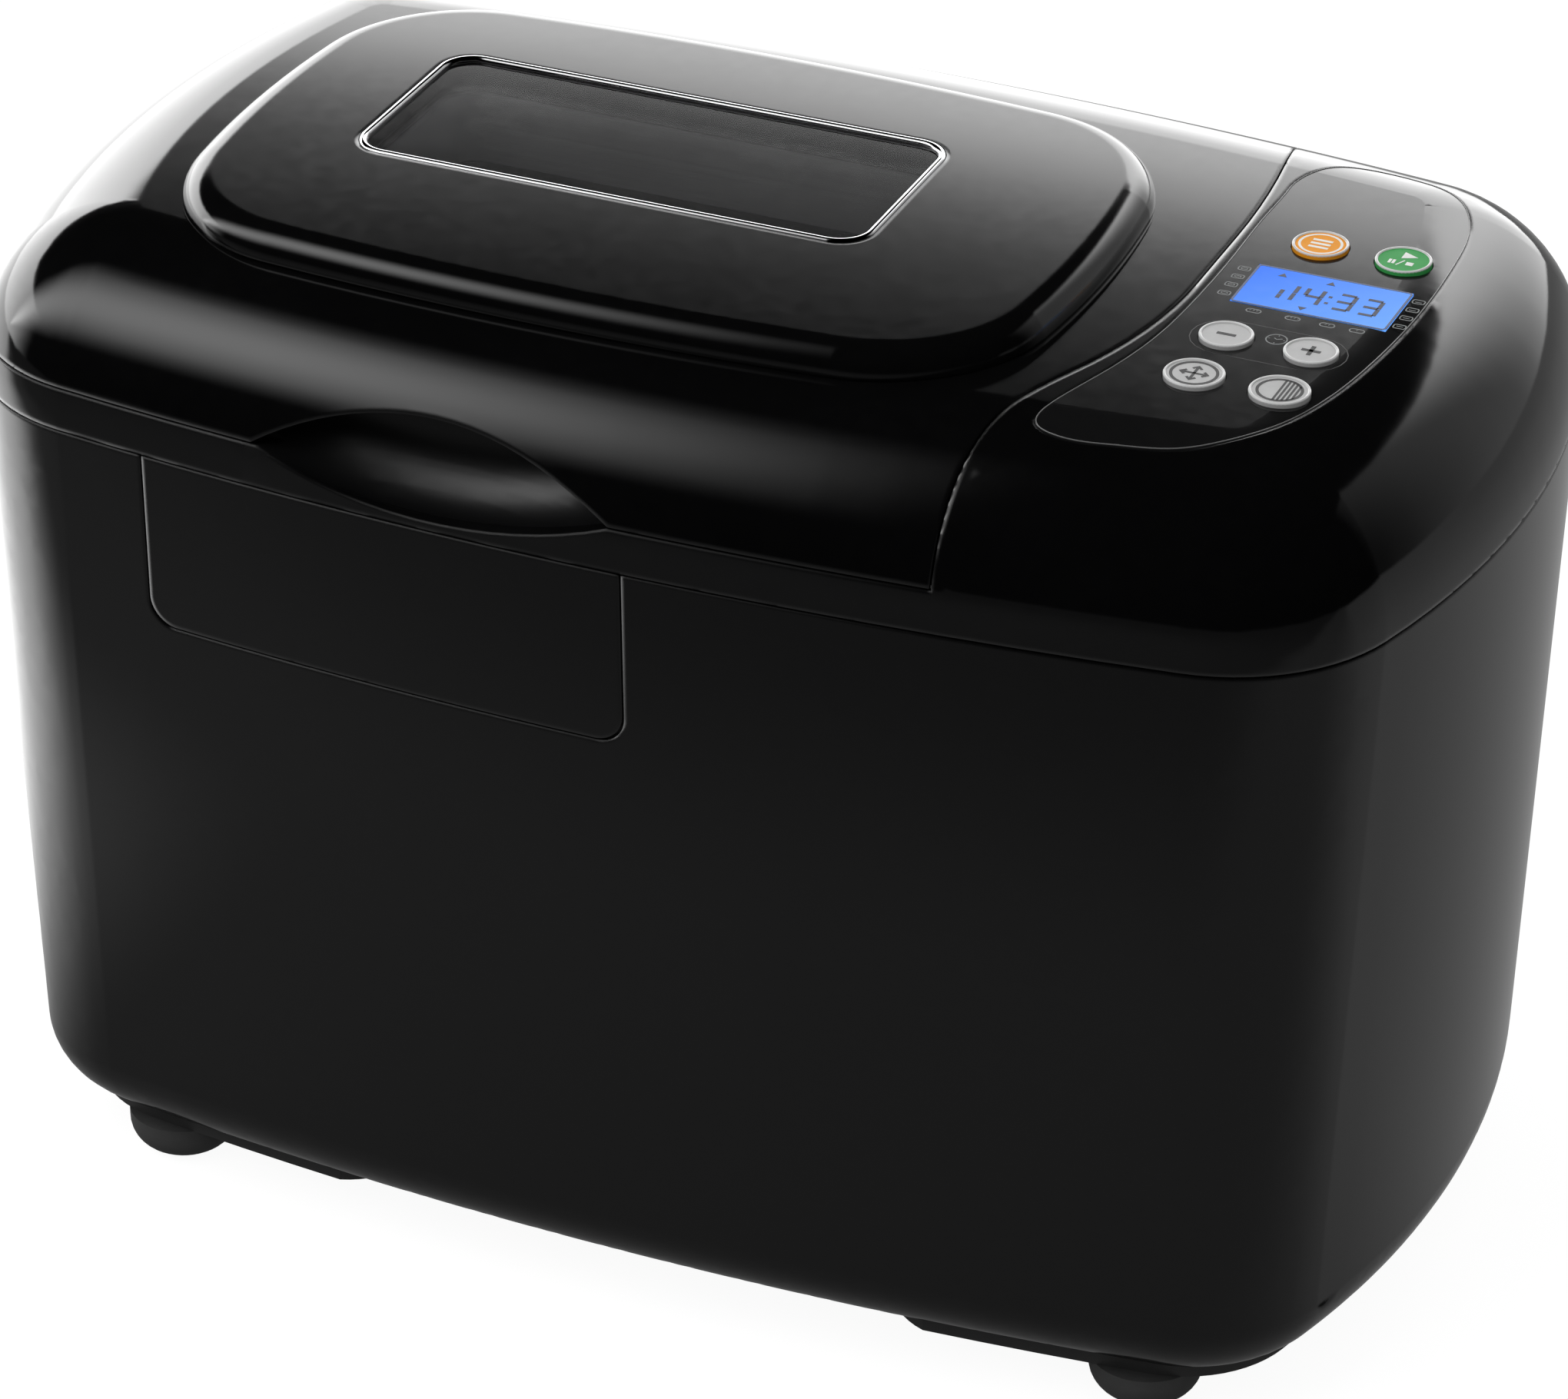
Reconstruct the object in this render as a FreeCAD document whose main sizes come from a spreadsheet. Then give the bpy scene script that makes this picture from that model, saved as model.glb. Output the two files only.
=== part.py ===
import FreeCAD, Part
import Sketcher
import math
import os
import re

# A two-paddle bread machine. Front is -Y, up is +Z, the table is z = 0, sizes are in millimetres.

doc = FreeCAD.newDocument("bread_machine")
sheet = doc.addObject("Spreadsheet::Sheet", "Sizes")

SIZES = [
    # Outer body
    ("body_width", 420, "width at the seam under the collar"),
    ("body_depth", 250, "depth at the seam under the collar"),
    ("seam_height", 237, "height of the seam between housing and collar"),
    ("top_height", 283, "height of the flat top"),
    ("front_bow", 1180, "radius of the bowed front and back"),
    ("side_bow", 275, "radius of the bowed sides"),
    ("corner_radius", 50, "radius of the upright corners at the seam"),
    ("shoulder_radius", 44, "radius between the walls and the top"),
    ("foot_line", 16, "height of the housing's underside"),
    ("foot_width", 403, "width of the housing at its underside"),
    ("foot_depth", 242, "depth of the housing at its underside"),
    ("foot_corner", 42, "radius of the upright corners at the underside"),
    ("heel_radius", 19, "rounding along the underside"),
    ("wall", 2.8, "wall of the moulded shells"),
    ("seam_gap", 0.6, "shadow gap along the seams"),
    ("floor_lip", 26, "inward reach of the housing's floor"),
    # Front inset panel
    ("inset_width", 141, "width of the inset front panel"),
    ("inset_height", 50.4, "height of the inset front panel"),
    ("inset_middle", -60, "sideways place of the inset front panel"),
    ("inset_corner", 8, "radius of its lower corners"),
    ("inset_thick", 1.6, "thickness of the inset panel"),
    # Lid split, finger scoop and hinge
    ("lid_edge", 249, "height of the lid's lower edge"),
    ("split_rear", 117, "sideways place of the lid split at the back"),
    ("split_front", 93, "sideways place of the lid split at the front"),
    ("split_run", 118, "length of the bend in the lid split"),
    ("split_back_bow", 320, "radius of the lid split behind its straight part"),
    ("split_straight", 30, "length of the straight part of the lid split"),
    ("scoop_middle", -45, "sideways place of the finger scoop"),
    ("scoop_width", 104, "width of the finger scoop"),
    ("scoop_rise", 16, "height of the arch in the lid"),
    ("scoop_drop", 9.4, "depth of the scoop below the lid's edge"),
    ("scoop_tube", 18, "radius of the scoop's hollow"),
    ("hinge_back", "=body_depth / 2 + 0.5", "hinge axis, distance behind the middle"),
    ("hinge_height", 253, "hinge axis, height"),
    ("hinge_left", -112, "sideways place of the left hinge"),
    ("hinge_right", 32, "sideways place of the right hinge"),
    ("knuckle_radius", 4, "radius of the hinge knuckles"),
    ("knuckle_length", 16, "length of the lid's knuckle"),
    ("ear_length", 7, "length of each collar knuckle"),
    ("hinge_pin_radius", 1.9, "radius of the hinge pins"),
    ("run_fit", 0.05, "radial clearance of turning shafts"),
    # Raised top plate and window
    ("plate_width", 248, "width of the raised plate on the lid"),
    ("plate_depth", 163, "depth of the raised plate"),
    ("plate_rise", 8, "height of the raised plate above the lid"),
    ("plate_middle", -29, "sideways place of the raised plate"),
    ("plate_back", -8, "front-to-back place of the raised plate"),
    ("plate_corner", 46, "corner radius of the raised plate"),
    ("plate_bow", 900, "radius of the raised plate's long edges"),
    ("plate_side_bow", 330, "radius of the raised plate's short edges"),
    ("plate_round", 7.6, "rounding of the raised plate's top edge"),
    ("window_width", 149, "width of the window"),
    ("window_depth", 66, "depth of the window"),
    ("window_middle", -38.5, "sideways place of the window"),
    ("window_back", 2, "front-to-back place of the window"),
    ("window_corner", 10, "corner radius of the window"),
    ("trim_width", 2, "width of the bright window rim"),
    ("glass_thick", 3, "thickness of the window panes"),
    # Lid liner
    ("liner_width", 290, "width of the lid's inner tray"),
    ("liner_depth", 198, "depth of the lid's inner tray"),
    ("liner_height", 256, "height of the lid's inner tray"),
    ("sheet_thick", 1.2, "sheet metal thickness"),
    ("boss_radius", 4.5, "radius of the screw bosses"),
    # Control panel
    ("film_thick", 0.6, "thickness of the control film"),
    ("lcd_width", 42, "width of the display"),
    ("lcd_depth", 22.4, "depth of the display"),
    ("lcd_middle", 149.2, "sideways place of the display"),
    ("lcd_back", 5.6, "front-to-back place of the display"),
    ("key_left", 134.5, "sideways place of the left keys"),
    ("key_right", 157.3, "sideways place of the right keys"),
    ("key_timer_row", -25.2, "front-to-back place of the timer keys"),
    ("key_option_row", -48.4, "front-to-back place of the option keys"),
    ("key_top_row", 32.6, "front-to-back place of the menu and start keys"),
    ("key_top_shift", 4.7, "sideways shift of the menu and start keys"),
    ("timer_key", 7.1, "radius of the timer keys"),
    ("option_key", 7.9, "radius of the option keys"),
    ("main_key", 7.5, "radius of the menu and start keys"),
    ("key_proud", 0.9, "height of the keys above the film"),
    ("key_clear", 0.3, "clearance around the keys"),
    ("key_travel", 0.8, "travel of the keys"),
    ("board_height", "=top_height - 11", "height of the control board"),
    ("board_thick", 1.6, "thickness of the circuit boards"),
    # Baking chamber and pan
    ("chamber_middle", -46, "sideways place of the chamber and pan"),
    ("chamber_width", 262, "inner width of the chamber"),
    ("chamber_depth", 176, "inner depth of the chamber"),
    ("chamber_floor", 62, "height of the chamber's floor"),
    ("chamber_corner", 30, "corner radius of the chamber"),
    ("deck_height", 246, "height of the deck around the chamber"),
    ("pan_width", 232, "outer width of the pan at its rim"),
    ("pan_depth", 134, "outer depth of the pan at its rim"),
    ("pan_draft", 6, "inward slope of the pan's walls"),
    ("pan_floor", 80, "height of the pan's underside"),
    ("pan_rim", 204, "height of the pan's rim"),
    ("pan_wall", 1.6, "wall of the pan"),
    ("pan_corner", 14, "corner radius of the pan"),
    ("rim_reach", 5, "outward reach of the pan's rim"),
    ("bail_radius", 2.4, "radius of the bail wire"),
    ("paddle_spacing", 116, "distance between the two paddles"),
    ("shaft_radius", 4, "radius of the paddle shafts"),
    ("hub_radius", 9, "radius of the paddle hubs"),
    ("blade_reach", 44, "reach of the paddle blades"),
    ("element_radius", 3.2, "radius of the heating tube"),
    ("element_inset", 7, "distance of the heating tube from the chamber wall"),
    # Drive
    ("chassis_height", 44, "height of the drive chassis plate"),
    ("chassis_thick", 2, "thickness of the chassis plate"),
    ("tang_width", 6, "width of the drive tang"),
    ("tang_clear", 0.2, "clearance of the tang in its slot"),
    ("large_pulley", 36, "radius of the driven pulley"),
    ("link_pulley", 22, "radius of the linking pulleys"),
    ("motor_pulley", 8, "radius of the motor's pulley"),
    ("belt_thick", 2.2, "thickness of the belts"),
    ("motor_middle", 148, "sideways place of the motor"),
    ("motor_radius", 36, "radius of the motor can"),
    # Base
    ("foot_out", 145, "sideways place of the feet"),
    ("foot_forward", 88, "front-to-back place of the feet"),
    ("foot_radius", 15.5, "radius of the feet"),
    ("foot_dome", 9, "rounding of the feet"),
    ("pad_drop", 3.4, "depth of the base pads under the housing"),
    ("pad_inset", 13, "distance of the base pads from the housing's edge"),
    ("pad_width", 148, "width of each base pad"),
    ("gland_middle", 150, "sideways place of the cord gland"),
    ("gland_height", 46, "height of the cord gland"),
    ("gland_bore", 3.6, "radius of the cord gland's bore"),
]

for row, (alias, amount, note) in enumerate(SIZES, start=1):
    sheet.set("A%d" % row, alias)
    sheet.set("B%d" % row, str(amount))
    sheet.setAlias("B%d" % row, alias)
    sheet.set("C%d" % row, note)
doc.recompute()

ALIASES = {entry[0] for entry in SIZES}
reckoner = doc.addObject("Spreadsheet::Sheet", "Reckoner")


def linked(text):
    """A formula in the sheet's sizes, as it is written outside the sheet."""
    def prefix(match):
        word = match.group(0)
        return "Sizes." + word if word in ALIASES else word
    return re.sub(r"[a-z][a-z_]*", prefix, str(text))


def number(text):
    """The value of a formula in the sheet's sizes."""
    reckoner.set("A1", "=" + linked(text))
    reckoner.recompute()
    return float(reckoner.get("A1"))


def bind(thing, path, text):
    """Bind one property of an object to a formula in the sheet's sizes."""
    thing.setExpression(path, linked(text))


def place(thing, x, y, z):
    """Bind an object's position."""
    bind(thing, "Placement.Base.x", x)
    bind(thing, "Placement.Base.y", y)
    bind(thing, "Placement.Base.z", z)


TURNS = {
    "X": FreeCAD.Rotation(FreeCAD.Vector(0, 1, 0), 90),
    "Y": FreeCAD.Rotation(FreeCAD.Vector(1, 0, 0), -90),
    "Z": FreeCAD.Rotation(),
}


def box(name, size, corner):
    """A block with its low corner at the given place."""
    block = doc.addObject("Part::Box", name)
    for prop, text in zip(("Length", "Width", "Height"), size):
        bind(block, prop, text)
    place(block, *corner)
    return block


def mid_box(name, size, centre, z):
    """A block centred in plan, standing on a height."""
    x = "(%s) - (%s) / 2" % (centre[0], size[0])
    y = "(%s) - (%s) / 2" % (centre[1], size[1])
    return box(name, size, (x, y, z))


def rod(name, radius, length, start, axis="Z"):
    """A cylinder from a start point along one axis."""
    bar = doc.addObject("Part::Cylinder", name)
    bar.Placement.Rotation = TURNS[axis]
    bind(bar, "Radius", radius)
    bind(bar, "Height", length)
    place(bar, *start)
    return bar


def fuse(name, pieces):
    """One solid out of several."""
    if len(pieces) == 1:
        return pieces[0]
    union = doc.addObject("Part::MultiFuse", name)
    union.Shapes = pieces
    return union


def cut(name, base, tools):
    """A piece with several others taken away one after the other."""
    for index, tool in enumerate(tools):
        last = index == len(tools) - 1
        result = doc.addObject("Part::Cut", name if last else "%s_step_%d" % (name, index))
        result.Base = base
        result.Tool = tool
        base = result
    return base


def common(name, first, second):
    """What two pieces share."""
    result = doc.addObject("Part::Common", name)
    result.Base = first
    result.Tool = second
    return result


def group(name, pieces):
    """Several separate solids kept as one sub-part."""
    bundle = doc.addObject("Part::Compound", name)
    bundle.Links = pieces
    return bundle


def new_body(name):
    return doc.addObject("PartDesign::Body", name)


def origin_plane(body, role):
    for feature in body.Origin.OriginFeatures:
        if feature.Role == role:
            return feature
    raise ValueError(role)


def sketch_on(body, name, role, offset=("0", "0", "0")):
    """An empty sketch on one of the body's own planes, moved by bound amounts."""
    sketch = body.newObject("Sketcher::SketchObject", name)
    sketch.AttachmentSupport = [(origin_plane(body, role), "")]
    sketch.MapMode = "FlatFace"
    for axis, text in zip("xyz", offset):
        bind(sketch, "AttachmentOffset.Base." + axis, text)
    return sketch


START, END, CENTRE = 1, 2, 3
ROOT_POINT = -1
X_AXIS, Y_AXIS = -1, -2


def constrain(sketch, kind, *values):
    return sketch.addConstraint(Sketcher.Constraint(kind, *values))


def sized(sketch, kind, text, *values):
    """A dimension in a sketch, bound to a formula."""
    index = constrain(sketch, kind, *values, number(text))
    bind(sketch, "Constraints[%d]" % index, text)


def arc(sketch, centre, radius, start, end):
    circle = Part.Circle(FreeCAD.Vector(centre[0], centre[1], 0), FreeCAD.Vector(0, 0, 1), radius)
    return sketch.addGeometry(Part.ArcOfCircle(circle, start, end), False)


def line(sketch, first, second):
    segment = Part.LineSegment(FreeCAD.Vector(*first, 0), FreeCAD.Vector(*second, 0))
    return sketch.addGeometry(segment, False)


def draw_bowed(sketch, half_width, half_depth, front_bow, side_bow, corner):
    """A closed outline of four bowed sides and four round corners, all tangent."""
    a, b = number(half_width), number(half_depth)
    big, side, small = number(front_bow), number(side_bow), number(corner)
    front = (0.0, big - b)
    right = (a - side, 0.0)
    span_x, span_y = right[0] - front[0], right[1] - front[1]
    span = math.hypot(span_x, span_y)
    near, far = big - small, side - small
    along = (near * near - far * far + span * span) / (2 * span)
    across = math.sqrt(max(near * near - along * along, 0.0))
    foot = (front[0] + span_x * along / span, front[1] + span_y * along / span)
    options = [
        (foot[0] + sign * -span_y * across / span, foot[1] + sign * span_x * across / span)
        for sign in (1, -1)
    ]
    knee = max(options, key=lambda point: point[0] - point[1])
    low = math.atan2(knee[1] - front[1], knee[0] - front[0])
    high = math.atan2(knee[1] - right[1], knee[0] - right[0])
    half, quarter = math.pi, math.pi / 2
    arc(sketch, front, big, -half - low, low)
    arc(sketch, knee, small, low, high)
    arc(sketch, right, side, high, -high)
    arc(sketch, (knee[0], -knee[1]), small, -high, -low)
    arc(sketch, (0.0, -front[1]), big, -low, half + low)
    arc(sketch, (-knee[0], -knee[1]), small, half + low, half + high)
    arc(sketch, (-right[0], 0.0), side, half + high, half - high)
    arc(sketch, (-knee[0], knee[1]), small, half - high, half - low)
    for index in range(8):
        constrain(sketch, "Tangent", index, END, (index + 1) % 8, START)
    for index in (0, 4):
        constrain(sketch, "PointOnObject", index, CENTRE, Y_AXIS)
    for index in (2, 6):
        constrain(sketch, "PointOnObject", index, CENTRE, X_AXIS)
    sized(sketch, "Radius", front_bow, 0)
    sized(sketch, "Radius", side_bow, 2)
    sized(sketch, "Radius", corner, 1)
    for first, second in ((0, 4), (2, 6), (1, 3), (1, 5), (1, 7)):
        constrain(sketch, "Equal", first, second)
    reach_y = "(%s) - (%s)" % (front_bow, half_depth)
    reach_x = "(%s) - (%s)" % (side_bow, half_width)
    sized(sketch, "DistanceY", reach_y, ROOT_POINT, 1, 0, CENTRE)
    sized(sketch, "DistanceY", reach_y, 4, CENTRE, ROOT_POINT, 1)
    sized(sketch, "DistanceX", reach_x, 2, CENTRE, ROOT_POINT, 1)
    sized(sketch, "DistanceX", reach_x, ROOT_POINT, 1, 6, CENTRE)


def draw_rounded(sketch, width, depth, corner):
    """A rectangle with round corners, centred on the sketch's origin."""
    x, y, r = number(width) / 2, number(depth) / 2, number(corner)
    quarter = math.pi / 2
    line(sketch, (-x + r, -y), (x - r, -y))
    arc(sketch, (x - r, -y + r), r, -quarter, 0)
    line(sketch, (x, -y + r), (x, y - r))
    arc(sketch, (x - r, y - r), r, 0, quarter)
    line(sketch, (x - r, y), (-x + r, y))
    arc(sketch, (-x + r, y - r), r, quarter, 2 * quarter)
    line(sketch, (-x, y - r), (-x, -y + r))
    arc(sketch, (-x + r, -y + r), r, 2 * quarter, 3 * quarter)
    for index in range(8):
        constrain(sketch, "Tangent", index, END, (index + 1) % 8, START)
    for index in (0, 4):
        constrain(sketch, "Horizontal", index)
    for index in (2, 6):
        constrain(sketch, "Vertical", index)
    for index in (3, 5, 7):
        constrain(sketch, "Equal", 1, index)
    sized(sketch, "Radius", corner, 1)
    sized(sketch, "DistanceX", "(%s) / 2" % width, 6, START, ROOT_POINT, 1)
    sized(sketch, "DistanceX", "(%s) / 2" % width, ROOT_POINT, 1, 2, START)
    sized(sketch, "DistanceY", "(%s) / 2" % depth, 0, START, ROOT_POINT, 1)
    sized(sketch, "DistanceY", "(%s) / 2" % depth, ROOT_POINT, 1, 4, START)


def draw_circle(sketch, radius):
    circle = Part.Circle(FreeCAD.Vector(0, 0, 0), FreeCAD.Vector(0, 0, 1), number(radius))
    sketch.addGeometry(circle, False)
    constrain(sketch, "Coincident", 0, CENTRE, ROOT_POINT, 1)
    sized(sketch, "Radius", radius, 0)


def pad(body, name, sketch, length):
    feature = body.newObject("PartDesign::Pad", name)
    feature.Profile = sketch
    bind(feature, "Length", length)
    return feature


def free_sketch(name, offset):
    """An empty level sketch that belongs to no body, moved by bound amounts."""
    sketch = doc.addObject("Sketcher::SketchObject", name)
    place(sketch, *offset)
    return sketch


def loft(name, sections):
    """A solid between level outlines."""
    form = doc.addObject("Part::Loft", name)
    form.Sections = sections
    form.Solid = True
    form.Ruled = True
    return form


def round_level(name, form, height, radius):
    """Round the edges of a form that lie flat at one height."""
    edges = level_edges(form, number(height))
    rounding = doc.addObject("Part::Fillet", name)
    rounding.Base = form
    amount = number(radius)
    rounding.Edges = [(int(edge[4:]), amount, amount) for edge in edges]
    return rounding


def level_edges(feature, height):
    """Names of a feature's edges that lie flat at one height."""
    doc.recompute()
    found = []
    for index, edge in enumerate(feature.Shape.Edges, start=1):
        bounds = edge.BoundBox
        if abs(bounds.ZMin - height) < 0.01 and abs(bounds.ZMax - height) < 0.01:
            found.append("Edge%d" % index)
    return found


def fillet(body, name, feature, height, radius):
    """Round the edges of a feature that lie at one height."""
    rounding = body.newObject("PartDesign::Fillet", name)
    rounding.Base = (feature, level_edges(feature, number(height)))
    bind(rounding, "Radius", radius)
    return rounding


def rounded_block(name, width, depth, corner, height, centre, z):
    """An upright block with round corners in plan."""
    body = new_body(name)
    sketch = sketch_on(body, name + "_outline", "XY_Plane", (centre[0], centre[1], z))
    draw_rounded(sketch, width, depth, corner)
    pad(body, name + "_pad", sketch, height)
    return body


def bowed_block(name, width, depth, bows, corner, height, z, centre=("0", "0")):
    """An upright block with bowed sides in plan."""
    body = new_body(name)
    sketch = sketch_on(body, name + "_outline", "XY_Plane", (centre[0], centre[1], z))
    draw_bowed(sketch, "(%s) / 2" % width, "(%s) / 2" % depth, bows[0], bows[1], corner)
    pad(body, name + "_pad", sketch, height)
    return body


NODES = []


def node(label, thing):
    """Keep an object as a sub-part of the machine."""
    thing.Label = label
    NODES.append(thing)
    return thing


# Lower housing

def housing_form(name, inset, low, high):
    """The tapered outer form, or one set in from it, between two heights."""
    sections = []
    share = "((%s) - foot_line) / (seam_height - foot_line)"
    for tag, z in (("low", low), ("high", high)):
        part = share % z
        width = "(foot_width + (body_width - foot_width) * %s) / 2 - (%s)" % (part, inset)
        depth = "(foot_depth + (body_depth - foot_depth) * %s) / 2 - (%s)" % (part, inset)
        corner = "foot_corner + (corner_radius - foot_corner) * %s - (%s)" % (part, inset)
        sketch = free_sketch("%s_%s" % (name, tag), ("0", "0", z))
        draw_bowed(sketch, width, depth, "front_bow - (%s)" % inset, "side_bow - (%s)" % inset, corner)
        sections.append(sketch)
    return loft(name, sections)


outer_form = housing_form("housing_outer", "0", "foot_line", "seam_height - seam_gap / 2")
outer = round_level("housing_heel", outer_form, "foot_line", "heel_radius")
inner_form = housing_form("housing_inner", "wall", "foot_line + wall", "seam_height + 5")
inner = round_level("housing_inner_heel", inner_form, "foot_line + wall", "heel_radius - wall")
floor_opening = bowed_block(
    "floor_opening", "foot_width - 2 * floor_lip", "foot_depth - 2 * floor_lip",
    ("front_bow", "side_bow"), "foot_corner - 12", "30", "foot_line - 10")

# The inset front panel lies in a shallow rebate of the front wall.
inset_skin = housing_form("inset_skin", "inset_thick", "foot_line", "seam_height + 5")


def inset_prism(name, grow, top):
    """The front panel's outline, pushed through the front wall."""
    body = new_body(name)
    middle = "seam_height - inset_height + (inset_height + 40) / 2"
    sketch = sketch_on(body, name + "_outline", "XZ_Plane", ("inset_middle", middle, "body_depth / 2 - 25"))
    draw_rounded(sketch, "inset_width + 2 * (%s)" % grow, "inset_height + 40 + 2 * (%s)" % grow, "inset_corner")
    pad(body, name + "_pad", sketch, "40")
    ceiling = mid_box(name + "_ceiling", ("body_width", "body_depth", "60"), ("0", "0"), top)
    return cut(name + "_cut", body, [ceiling])


inset_rebate = cut("inset_rebate", inset_prism("rebate_prism", "seam_gap / 2", "seam_height + 2"), [inset_skin])
inset_shell = cut("inset_shell", outer, [inset_skin])
node("front_inset_panel", common(
    "inset_panel", inset_shell, inset_prism("panel_prism", "-seam_gap / 2", "seam_height - seam_gap / 2")))


def slot_row(name, count, size, first, step):
    """A row of upright slots."""
    slots = []
    for index in range(count):
        x = "(%s) + %d * (%s)" % (first[0], index, step)
        slots.append(mid_box("%s_%d" % (name, index), size, (x, first[1]), first[2]))
    return slots


rear_wall = "body_depth / 2 - 4"
rear_vents = slot_row("rear_vent", 9, ("3", "30", "44"), ("104", rear_wall, "150"), "8")
rear_vents += slot_row("rear_vent_low", 9, ("3", "30", "30"), ("104", rear_wall, "84"), "8")
gland_hole = rod("gland_hole", "gland_bore + 5.6", "30", ("gland_middle", "body_depth / 2 - 26", "gland_height"), "Y")
node("lower_housing", cut(
    "housing_shell", outer, [inner, floor_opening, inset_rebate, gland_hole, group("rear_vents", rear_vents)]))

# Cap form shared by the collar and the lid

BOWS = ("front_bow", "side_bow")


def cap_form(name, inset, low):
    """The rounded upper form, or one set in from it."""
    body = bowed_block(
        name, "body_width - 2 * (%s)" % inset, "body_depth - 2 * (%s)" % inset,
        ("front_bow - (%s)" % inset, "side_bow - (%s)" % inset), "corner_radius - (%s)" % inset,
        "top_height - (%s) - (%s)" % (inset, low), low)
    fillet(body, name + "_shoulder", body.Tip, "top_height - (%s)" % inset, "shoulder_radius - (%s)" % inset)
    return body


cap_outer = cap_form("cap_outer", "0", "seam_height + seam_gap / 2")
cap_inner = cap_form("cap_inner", "wall", "seam_height - 6")
cap_film = cap_form("cap_film", "film_thick", "seam_height - 6")
cap_lip = cap_form("cap_lip", "2 * wall", "seam_height - 8")
cap_shell = cut("cap_shell", cap_outer, [cap_inner])


def draw_split(sketch, shift):
    """The region left of the lid split: straight at the back, bent, straight at the front."""
    rear, front = number("split_rear + (%s)" % shift), number("split_front + (%s)" % shift)
    run = number("split_run")
    drop = rear - front
    bend = (run * run + drop * drop) / (4 * drop)
    turn = math.asin(min(run / (2 * bend), 1.0))
    far = number("body_width")
    bow, straight = number("split_back_bow"), number("split_straight")
    back = number("body_depth / 2 + 20")
    lean = math.asin((back - straight) / bow)
    tip = (rear - bow + bow * math.cos(lean), back)
    arc(sketch, (rear - bend, 0.0), bend, -turn, 0.0)
    arc(sketch, (front + bend, -run), bend, math.pi - turn, math.pi)
    line(sketch, (front, -run), (front, -far))
    line(sketch, (front, -far), (-far, -far))
    line(sketch, (-far, -far), (-far, back))
    line(sketch, (-far, back), tip)
    arc(sketch, (rear - bow, straight), bow, 0.0, lean)
    line(sketch, (rear, straight), (rear, 0.0))


def split_zone(name, shift, low):
    """Everything the lid takes up: left of the split and above its edge."""
    body = new_body(name)
    sketch = sketch_on(body, name + "_outline", "XY_Plane", ("0", "0", low))
    draw_split(sketch, shift)
    pad(body, name + "_pad", sketch, "top_height + 40 - (%s)" % low)
    return body


lid_zone = split_zone("lid_zone", "-seam_gap / 2", "lid_edge + seam_gap / 2")
collar_zone = split_zone("collar_zone", "seam_gap / 2", "lid_edge - seam_gap / 2")
wall_zone = split_zone("wall_zone", "seam_gap / 2 + wall", "deck_height - 4")

# Finger scoop

SCOOP_LOW = "((scoop_width ^ 2 / 4 + scoop_drop ^ 2) / (2 * scoop_drop))"
SCOOP_HIGH = "((scoop_width ^ 2 / 4 + scoop_rise ^ 2) / (2 * scoop_rise))"
scoop_hollow = doc.addObject("Part::Torus", "scoop_hollow")
scoop_hollow.Placement.Rotation = TURNS["Y"]
bind(scoop_hollow, "Radius1", SCOOP_LOW + " - scoop_tube")
bind(scoop_hollow, "Radius2", "scoop_tube")
place(scoop_hollow, "scoop_middle", "1 - body_depth / 2", "lid_edge - scoop_drop + " + SCOOP_LOW)
scoop_arch = rod(
    "scoop_arch", SCOOP_HIGH, "50", ("scoop_middle", "-body_depth / 2 - 20", "lid_edge + scoop_rise - " + SCOOP_HIGH),
    "Y")
scoop_block = mid_box(
    "scoop_block", ("scoop_width + 14", "30", "lid_edge - seam_height - seam_gap"),
    ("scoop_middle", "9 - body_depth / 2"), "seam_height + seam_gap / 2")
scoop_wall_block = mid_box(
    "scoop_wall_block", ("scoop_width + 14", "30", "scoop_rise + 4"),
    ("scoop_middle", "9 - body_depth / 2"), "lid_edge - 2")

# Keys and display

KEYS = [
    ("button_menu", "key_left + key_top_shift", "key_top_row", "main_key"),
    ("button_start", "key_right + key_top_shift", "key_top_row", "main_key"),
    ("button_minus", "key_left", "key_timer_row", "timer_key"),
    ("button_plus", "key_right", "key_timer_row", "timer_key"),
    ("button_size", "key_left", "key_option_row", "option_key"),
    ("button_colour", "key_right", "key_option_row", "option_key"),
]
UNDER_TOP = "(top_height - wall)"
key_holes = []
for name, x, y, radius in KEYS:
    key_holes.append(rod(name + "_hole", radius + " + key_clear", "14", (x, y, "top_height - 10")))
lcd_hole = mid_box(
    "lcd_hole", ("lcd_width + 0.4", "lcd_depth + 0.4", "14"), ("lcd_middle", "lcd_back"), "top_height - 10")

# Upright film outline, drawn from its own corner points.

FILM_OUTLINE = [
    (120.0, 62.0), (122.6, 74.0), (129.0, 81.6), (138.0, 83.9), (150.0, 82.6), (161.0, 77.6), (168.5, 67.0),
    (173.5, 42.0), (174.8, 12.0), (172.5, -25.0), (166.5, -54.0), (156.0, -74.0), (143.0, -83.5),
    (128.0, -87.0), (113.0, -88.3), (106.8, -85.8), (106.6, -78.0), (112.9, -56.0), (118.0, -33.0),
    (119.8, -10.0), (120.2, 20.0), (119.8, 45.0),
]


def film_prism(name, grow):
    """The control film's outline as an upright prism."""
    body = new_body(name)
    sketch = sketch_on(body, name + "_outline", "XY_Plane", ("0", "0", "top_height - 30"))
    middle = (143.0, 0.0)
    points = []
    for x, y in FILM_OUTLINE:
        reach = math.hypot(x - middle[0], y - middle[1])
        factor = 1 + grow / reach
        points.append(FreeCAD.Vector(
            middle[0] + (x - middle[0]) * factor, middle[1] + (y - middle[1]) * factor, 0))
    curve = Part.BSplineCurve()
    curve.interpolate(points, PeriodicFlag=True)
    sketch.addGeometry(curve, False)
    pad(body, name + "_pad", sketch, "60")
    return body


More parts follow.
